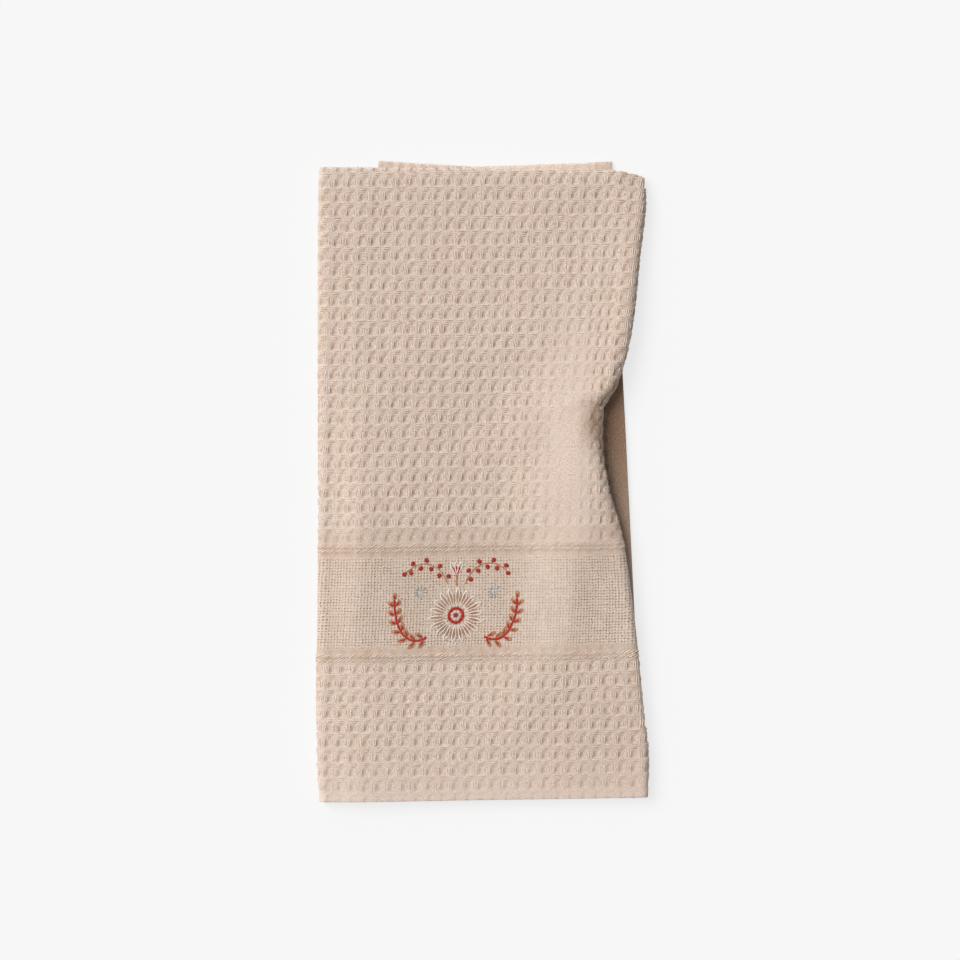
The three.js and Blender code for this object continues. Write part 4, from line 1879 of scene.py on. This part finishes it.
@dataclass(frozen=True)
class Line:
    """A smooth line from its first point to its last, drawn towards the others, in millimetres."""

    points: tuple[tuple[float, float], ...]
    samples: int = 60

    def trace(self, step: float) -> tuple[np.ndarray, np.ndarray]:
        """Goes along the line in equal steps.

        Args:
            step: About how long a step is.

        Returns:
            The places, and the direction at each.
        """
        share = np.linspace(0, 1, self.samples)[:, None, None]
        level = np.repeat(np.array(self.points, float)[None], self.samples, axis=0)
        while level.shape[1] > 1:
            level = mix(level[:, :-1], level[:, 1:], share)
        spots = level[:, 0]
        gone = np.concatenate([[0], np.cumsum(np.linalg.norm(np.diff(spots, axis=0), axis=1))])
        stops = np.linspace(0, gone[-1], max(2, round(gone[-1] / step) + 1))
        places = np.stack([np.interp(stops, gone, spots[:, axis]) for axis in (0, 1)], axis=1)
        return places, unit(np.gradient(places, axis=0))


@dataclass
class Embroidery:
    """A flower between leafy branches and berry sprigs, in stranded cotton on the band.

    Places are in millimetres to the right of the motif's middle and above it.
    """

    folds: ClothFolds
    weave: WaffleWeave
    middle: tuple[float, float] = (79.4, 241.0)
    strand: float = 0.50
    strand_gap: float = 0.40
    dive: float = -0.28
    crown: float = 0.26
    waver: float = 0.14
    flower_at: tuple[float, float] = (0.0, -7.0)
    flower_turn: float = 0.1
    petals: int = 18
    petal_foot: float = 5.6
    petal_tip: float = 14.6
    petal_width: float = 2.6
    ring: float = 4.0
    ring_steps: int = 12
    ring_overlap: float = 1.55
    heart_knots: int = 7
    heart_reach: float = 2.1
    heart_knot: float = 0.62
    stem_pitch: float = 2.0
    branch: Line = Line(((16.0, -19.0), (25.0, -24.0), (34.0, -16.0), (34.0, 2.0)))
    leaf_step: float = 4.7
    leaf_length: float = 6.0
    leaf_turn: float = 44.0
    sprig: Line = Line(((5.0, 10.5), (8.0, 20.0), (19.0, 27.0), (29.0, 16.0)))
    berry_step: float = 3.6
    berry: float = 1.3
    berry_out: float = 2.0
    bud_stem: tuple[tuple[float, float], ...] = ((0.0, 9.5), (0.0, 15.5))
    bud_leans: tuple[float, ...] = (-0.45, 0.0, 0.45)
    bud_length: float = 7.0
    bud_width: float = 2.4
    star_at: tuple[float, float] = (20.5, 6.0)
    star_rays: int = 10
    star_reach: tuple[float, float] = (1.0, 4.4)

    def __post_init__(self) -> None:
        """Sets out an empty work for each colour."""
        self.rng = np.random.default_rng(SEED + 5)
        self.works = {floss: ThreadWork(self.folds, self.weave, "embroidery_" + floss.name.lower(), 0.0)
                      for floss in Floss}

    def _lay(self, floss: Floss, spots: np.ndarray, lift: np.ndarray, fullness: np.ndarray) -> None:
        """Lays one strand over places on the motif, with its lift and its share of the full width."""
        across, down = self.middle[0] + spots[:, 0], self.middle[1] - spots[:, 1]
        self.works[floss].lay(np.stack([across, down, lift, self.strand / 2 * fullness], axis=1))

    def stitch(self, floss: Floss, start: Any, end: Any, strands: int = 3, bend: float = 0.0) -> None:
        """Makes one stitch, whose strands fan out a little in its middle.

        Args:
            floss: Its colour.
            start: Where it comes up.
            end: Where it goes down.
            strands: How many strands lie side by side.
            bend: How far its middle is pushed to the left.
        """
        start = np.asarray(start, float) + self.rng.uniform(-self.waver, self.waver, 2)
        run = np.asarray(end, float) + self.rng.uniform(-self.waver, self.waver, 2) - start
        side = left_of(run) / np.hypot(*run)
        share = np.linspace(0, 1, 7)
        bow = np.sin(share * math.pi)
        for strand in range(strands):
            beside = (strand - (strands - 1) / 2) * self.strand_gap * (0.45 + 0.55 * bow) + bend * bow
            spots = start + run * share[:, None] + side * beside[:, None]
            lift = mix(self.dive, self.crown + self.rng.uniform(-0.04, 0.04), bow**0.5)
            self._lay(floss, spots, lift, 0.6 + 0.4 * bow)

    def loop(self, floss: Floss, start: np.ndarray, way: np.ndarray, length: float, width: float) -> None:
        """Makes a loop that is tacked down at its tip.

        Args:
            floss: Its colour.
            start: Where it comes up and goes down.
            way: Its direction.
            length: Its length.
            width: Its width.
        """
        side = left_of(way)
        turn = np.linspace(0, math.tau, 17)
        along = (1 - np.cos(turn)) / 2
        beside = np.sin(turn) * (0.35 + 0.65 * along) * width / 2
        spots = start + way * (along * length)[:, None] + side * beside[:, None]
        lift = mix(self.dive, self.crown, np.minimum(1, along * 5))
        self._lay(floss, spots, lift, 1.0 + 0.3 * along)
        tip = start + way * length
        self.stitch(floss, tip - way * 0.3, tip + way * 0.9, 1)

    def knot(self, floss: Floss, at: Any, radius: float) -> None:
        """Makes a small wound knot.

        Args:
            floss: Its colour.
            at: Its place on the motif.
            radius: Its radius.
        """
        turn = np.linspace(0, 1.8 * math.tau, 22) + self.rng.uniform(0, math.tau)
        share = np.linspace(1, 0, 22)
        reach = radius * (0.15 + 0.85 * share)
        spots = np.asarray(at, float) + np.stack([np.cos(turn), np.sin(turn)], 1) * reach[:, None]
        self._lay(floss, spots, 0.08 + 0.46 * (1 - share), np.full(22, 1.3))

    def stem(self, floss: Floss, line: Line, strands: int = 3) -> None:
        """Works a line of slanting stitches that overlap like a cord.

        Args:
            floss: Its colour.
            line: The line on the motif.
            strands: Strands in each stitch.
        """
        places, ways = line.trace(self.stem_pitch)
        for place, way in zip(places[:-1], ways[:-1]):
            side = left_of(way) * 0.22
            end = place + way * (self.stem_pitch + 0.5) + side
            self.stitch(floss, place - way * 0.5 - side, end, strands)

    def flower(self) -> None:
        """Works the flower: a red ring round pale knots, and looped petals."""
        middle = np.array(self.flower_at)
        for turn in np.arange(self.petals) / self.petals * math.tau:
            way = heading(turn + self.flower_turn)
            reach = self.petal_tip - self.petal_foot + self.rng.uniform(-0.5, 0.4)
            foot = middle + way * self.petal_foot
            self.loop(Floss.IVORY, foot, way, reach, self.petal_width)
            self.stitch(Floss.TAN, foot + way * 0.5, foot + way * (reach - 1.6), 2)
            between = heading(turn + self.flower_turn + math.pi / self.petals)
            self.stitch(Floss.TAN, middle + between * (self.petal_foot + 1.2),
                        middle + between * (self.petal_tip - 1.6), 1)
        for step in range(self.ring_steps):
            start = heading(step / self.ring_steps * math.tau) * (self.ring - 0.2)
            end = heading((step + self.ring_overlap) / self.ring_steps * math.tau) * (self.ring + 0.2)
            self.stitch(Floss.BRICK, middle + start, middle + end, 4, -0.15)
        self.knot(Floss.BRICK, middle, self.berry)
        for turn in np.arange(self.heart_knots) / self.heart_knots * math.tau:
            self.knot(Floss.IVORY, middle + heading(turn) * self.heart_reach, self.heart_knot)

    def leaf(self, foot: np.ndarray, way: np.ndarray, length: float) -> None:
        """Works a leaf of two tan stitches and a red vein.

        Args:
            foot: Where it leaves the branch.
            way: The direction that it points in.
            length: Its length.
        """
        for bend in (-0.8, 0.8):
            self.stitch(Floss.TAN, foot, foot + way * length, 2, bend)
        self.stitch(Floss.BRICK, foot + way * 0.3, foot + way * length * 0.66, 3)

    def branches(self) -> None:
        """Works the two leafy branches under the flower."""
        for side in (-1, 1):
            line = Line(tuple((side * x, y) for x, y in self.branch.points))
            self.stem(Floss.BRICK, line)
            places, ways = line.trace(self.leaf_step)
            sizes = np.linspace(1.0, 0.72, len(places)) * self.leaf_length
            for place, way, size in zip(places[:-1], ways[:-1], sizes):
                for turn in (-self.leaf_turn, self.leaf_turn):
                    ahead, aside = heading(math.radians(turn))
                    aim = way * ahead + left_of(way) * aside
                    self.leaf(place + aim * 0.7 + way * 0.8, aim, size)
            self.leaf(places[-1], ways[-1], sizes[-1])

    def sprigs(self) -> None:
        """Works the two sprigs with red berries over the flower, and the bud between them."""
        for side in (-1, 1):
            line = Line(tuple((side * x, y) for x, y in self.sprig.points))
            self.stem(Floss.TAN, line, 1)
            places, ways = line.trace(self.berry_step)
            for number, (place, way) in enumerate(zip(places[1:-1], ways[1:-1])):
                out = left_of(way) * (self.berry_out if number % 2 else -self.berry_out)
                self.stitch(Floss.TAN, place - way * 1.2, place + out * 0.7, 1)
                self.knot(Floss.BRICK, place + out, self.berry)
            self.knot(Floss.BRICK, places[-1], self.berry)
        foot = np.array(self.bud_stem[-1])
        self.stem(Floss.TAN, Line(self.bud_stem), 2)
        for lean in self.bud_leans:
            way = np.array([math.sin(lean), math.cos(lean)])
            self.loop(Floss.IVORY, foot, way, self.bud_length, self.bud_width)
            self.stitch(Floss.BRICK, foot, foot + way * 4.8, 3)

    def stars(self) -> None:
        """Works the two grey stars."""
        for side in (-1, 1):
            middle = np.array([side * self.star_at[0], self.star_at[1]])
            for turn in np.arange(self.star_rays) / self.star_rays * math.tau:
                way = heading(turn)
                near, far = self.star_reach
                tip = middle + way * far * self.rng.uniform(0.8, 1.1)
                self.stitch(Floss.GREY, middle + way * near, tip, 1)

    def build(self) -> list[bpy.types.Object]:
        """Works the whole motif.

        Returns:
            A piece for each colour.
        """
        self.flower()
        self.branches()
        self.sprigs()
        self.stars()
        return [work.build(FlossFinish(floss).material(), 6) for floss, work in self.works.items()]


# --- Studio -------------------------------------------------------------------------------------


@dataclass(frozen=True)
class Studio:
    """A pale floor, soft light from the upper left and a camera straight above. Sizes are in metres."""

    floor_size: float = 6.0
    floor_white: float = 0.930
    floor_glow: float = 0.80
    lamp_height: float = 54.0
    lamp_side: float = 32.0
    lamp_angle: float = 38.0
    fill: float = 0.34
    sky: tuple[float, float, float] = (0.98, 1.0, 1.01)
    sky_lean: float = 0.8
    camera_height: float = 1.486
    camera_lens: float = 100.0
    sensor: float = 36.0
    aim: tuple[float, float] = (-0.00139, 0.00056)

    def build(self) -> None:
        """Makes the floor, the lamp, the world and the camera."""
        scene = bpy.context.scene
        scene.view_settings.view_transform = "Standard"
        self._floor()
        self._light()
        self._camera()

    def _floor(self) -> None:
        """Lays the floor under the towel."""
        half = self.floor_size / 2
        low, _ = FRAME_BOX
        mesh = bpy.data.meshes.new("floor")
        corners = [(-half, -half, low.z), (half, -half, low.z), (half, half, low.z), (-half, half, low.z)]
        mesh.from_pydata(corners, [], [(0, 1, 2, 3)])
        floor = bpy.data.objects.new("floor", mesh)
        bpy.context.scene.collection.objects.link(floor)
        material = bpy.data.materials.new("pale_floor")
        graph = ShadeGraph(material)
        white = (self.floor_white,) * 3 + (1.0,)
        graph.feed(graph.shader.inputs["Base Color"], white)
        graph.feed(graph.shader.inputs["Roughness"], 1.0)
        graph.feed(graph.shader.inputs["Specular IOR Level"], 0.0)
        glow = graph.add("ShaderNodeEmission", {"Color": white, "Strength": 1.0})
        seen = Signal(graph, graph.add("ShaderNodeLightPath").outputs["Is Camera Ray"])
        blend = graph.add("ShaderNodeMixShader", {0: seen * self.floor_glow, 1: graph.shader.outputs[0],
                                                  2: glow.outputs[0]})
        graph.feed(graph.tree.nodes["Material Output"].inputs["Surface"], blend.outputs[0])
        mesh.materials.append(material)

    def _light(self) -> None:
        """Sets the world's fill light and one broad lamp, which together show white as white."""
        world = bpy.data.worlds.new("studio")
        bpy.context.scene.world = world
        world.use_nodes = True
        graph = Graph(world.node_tree)
        sky = world.node_tree.nodes["Background"]
        height, side = math.radians(self.lamp_height), math.radians(self.lamp_side)
        east, north, _ = graph.parts(graph.add("ShaderNodeTexCoord").outputs["Generated"])
        towards = north * math.sin(side) - east * math.cos(side)
        graph.feed(sky.inputs["Color"], (*self.sky, 1.0))
        graph.feed(sky.inputs["Strength"], (towards * self.sky_lean + 1.0) * self.fill)
        lamp = bpy.data.lights.new("lamp", "SUN")
        lamp.energy = (1 - self.fill) * math.pi / math.sin(height)
        lamp.angle = math.radians(self.lamp_angle)
        lamp.color = tuple((1 - self.fill * share) / (1 - self.fill) for share in self.sky)
        holder = bpy.data.objects.new("lamp", lamp)
        holder.rotation_euler = (math.pi / 2 - height, 0, -math.pi / 2 - side)
        bpy.context.scene.collection.objects.link(holder)

    def _camera(self) -> None:
        """Hangs the camera over the towel."""
        low, high = FRAME_BOX
        data = bpy.data.cameras.new("camera")
        data.lens = self.camera_lens
        data.sensor_width = self.sensor
        camera = bpy.data.objects.new("camera", data)
        middle = (low + high) / 2
        camera.location = (middle.x + self.aim[0], middle.y + self.aim[1], self.camera_height)
        bpy.context.scene.collection.objects.link(camera)
        bpy.context.scene.camera = camera


def main() -> None:
    """Builds the studio and the towel, and reports each piece."""
    logging.basicConfig(level=logging.INFO, format="%(name)s: %(message)s")
    Studio().build()
    folds = ClothFolds()
    weave = WaffleWeave()
    cloth = TowelCloth(folds, weave).build()
    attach(cloth, BODY)
    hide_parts(CLOTH_NODE)
    woven = WovenThreads(folds, weave, TowelCloth.depth, WaffleCotton(weave).yarn())
    yarns = [woven.weft(), woven.warp(), woven.cords(), woven.hems()]
    stitches = Embroidery(folds, weave).build()
    for slot, pieces in (("waffle_cotton", yarns), ("embroidery_thread", stitches)):
        for piece in pieces:
            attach(piece, BODY)
    yarns + stitches
    for piece in [cloth, *yarns, *stitches]:
        LOG.info("%s: %d faces", piece.name, len(piece.data.polygons))


if __name__ == "__main__":
    main()
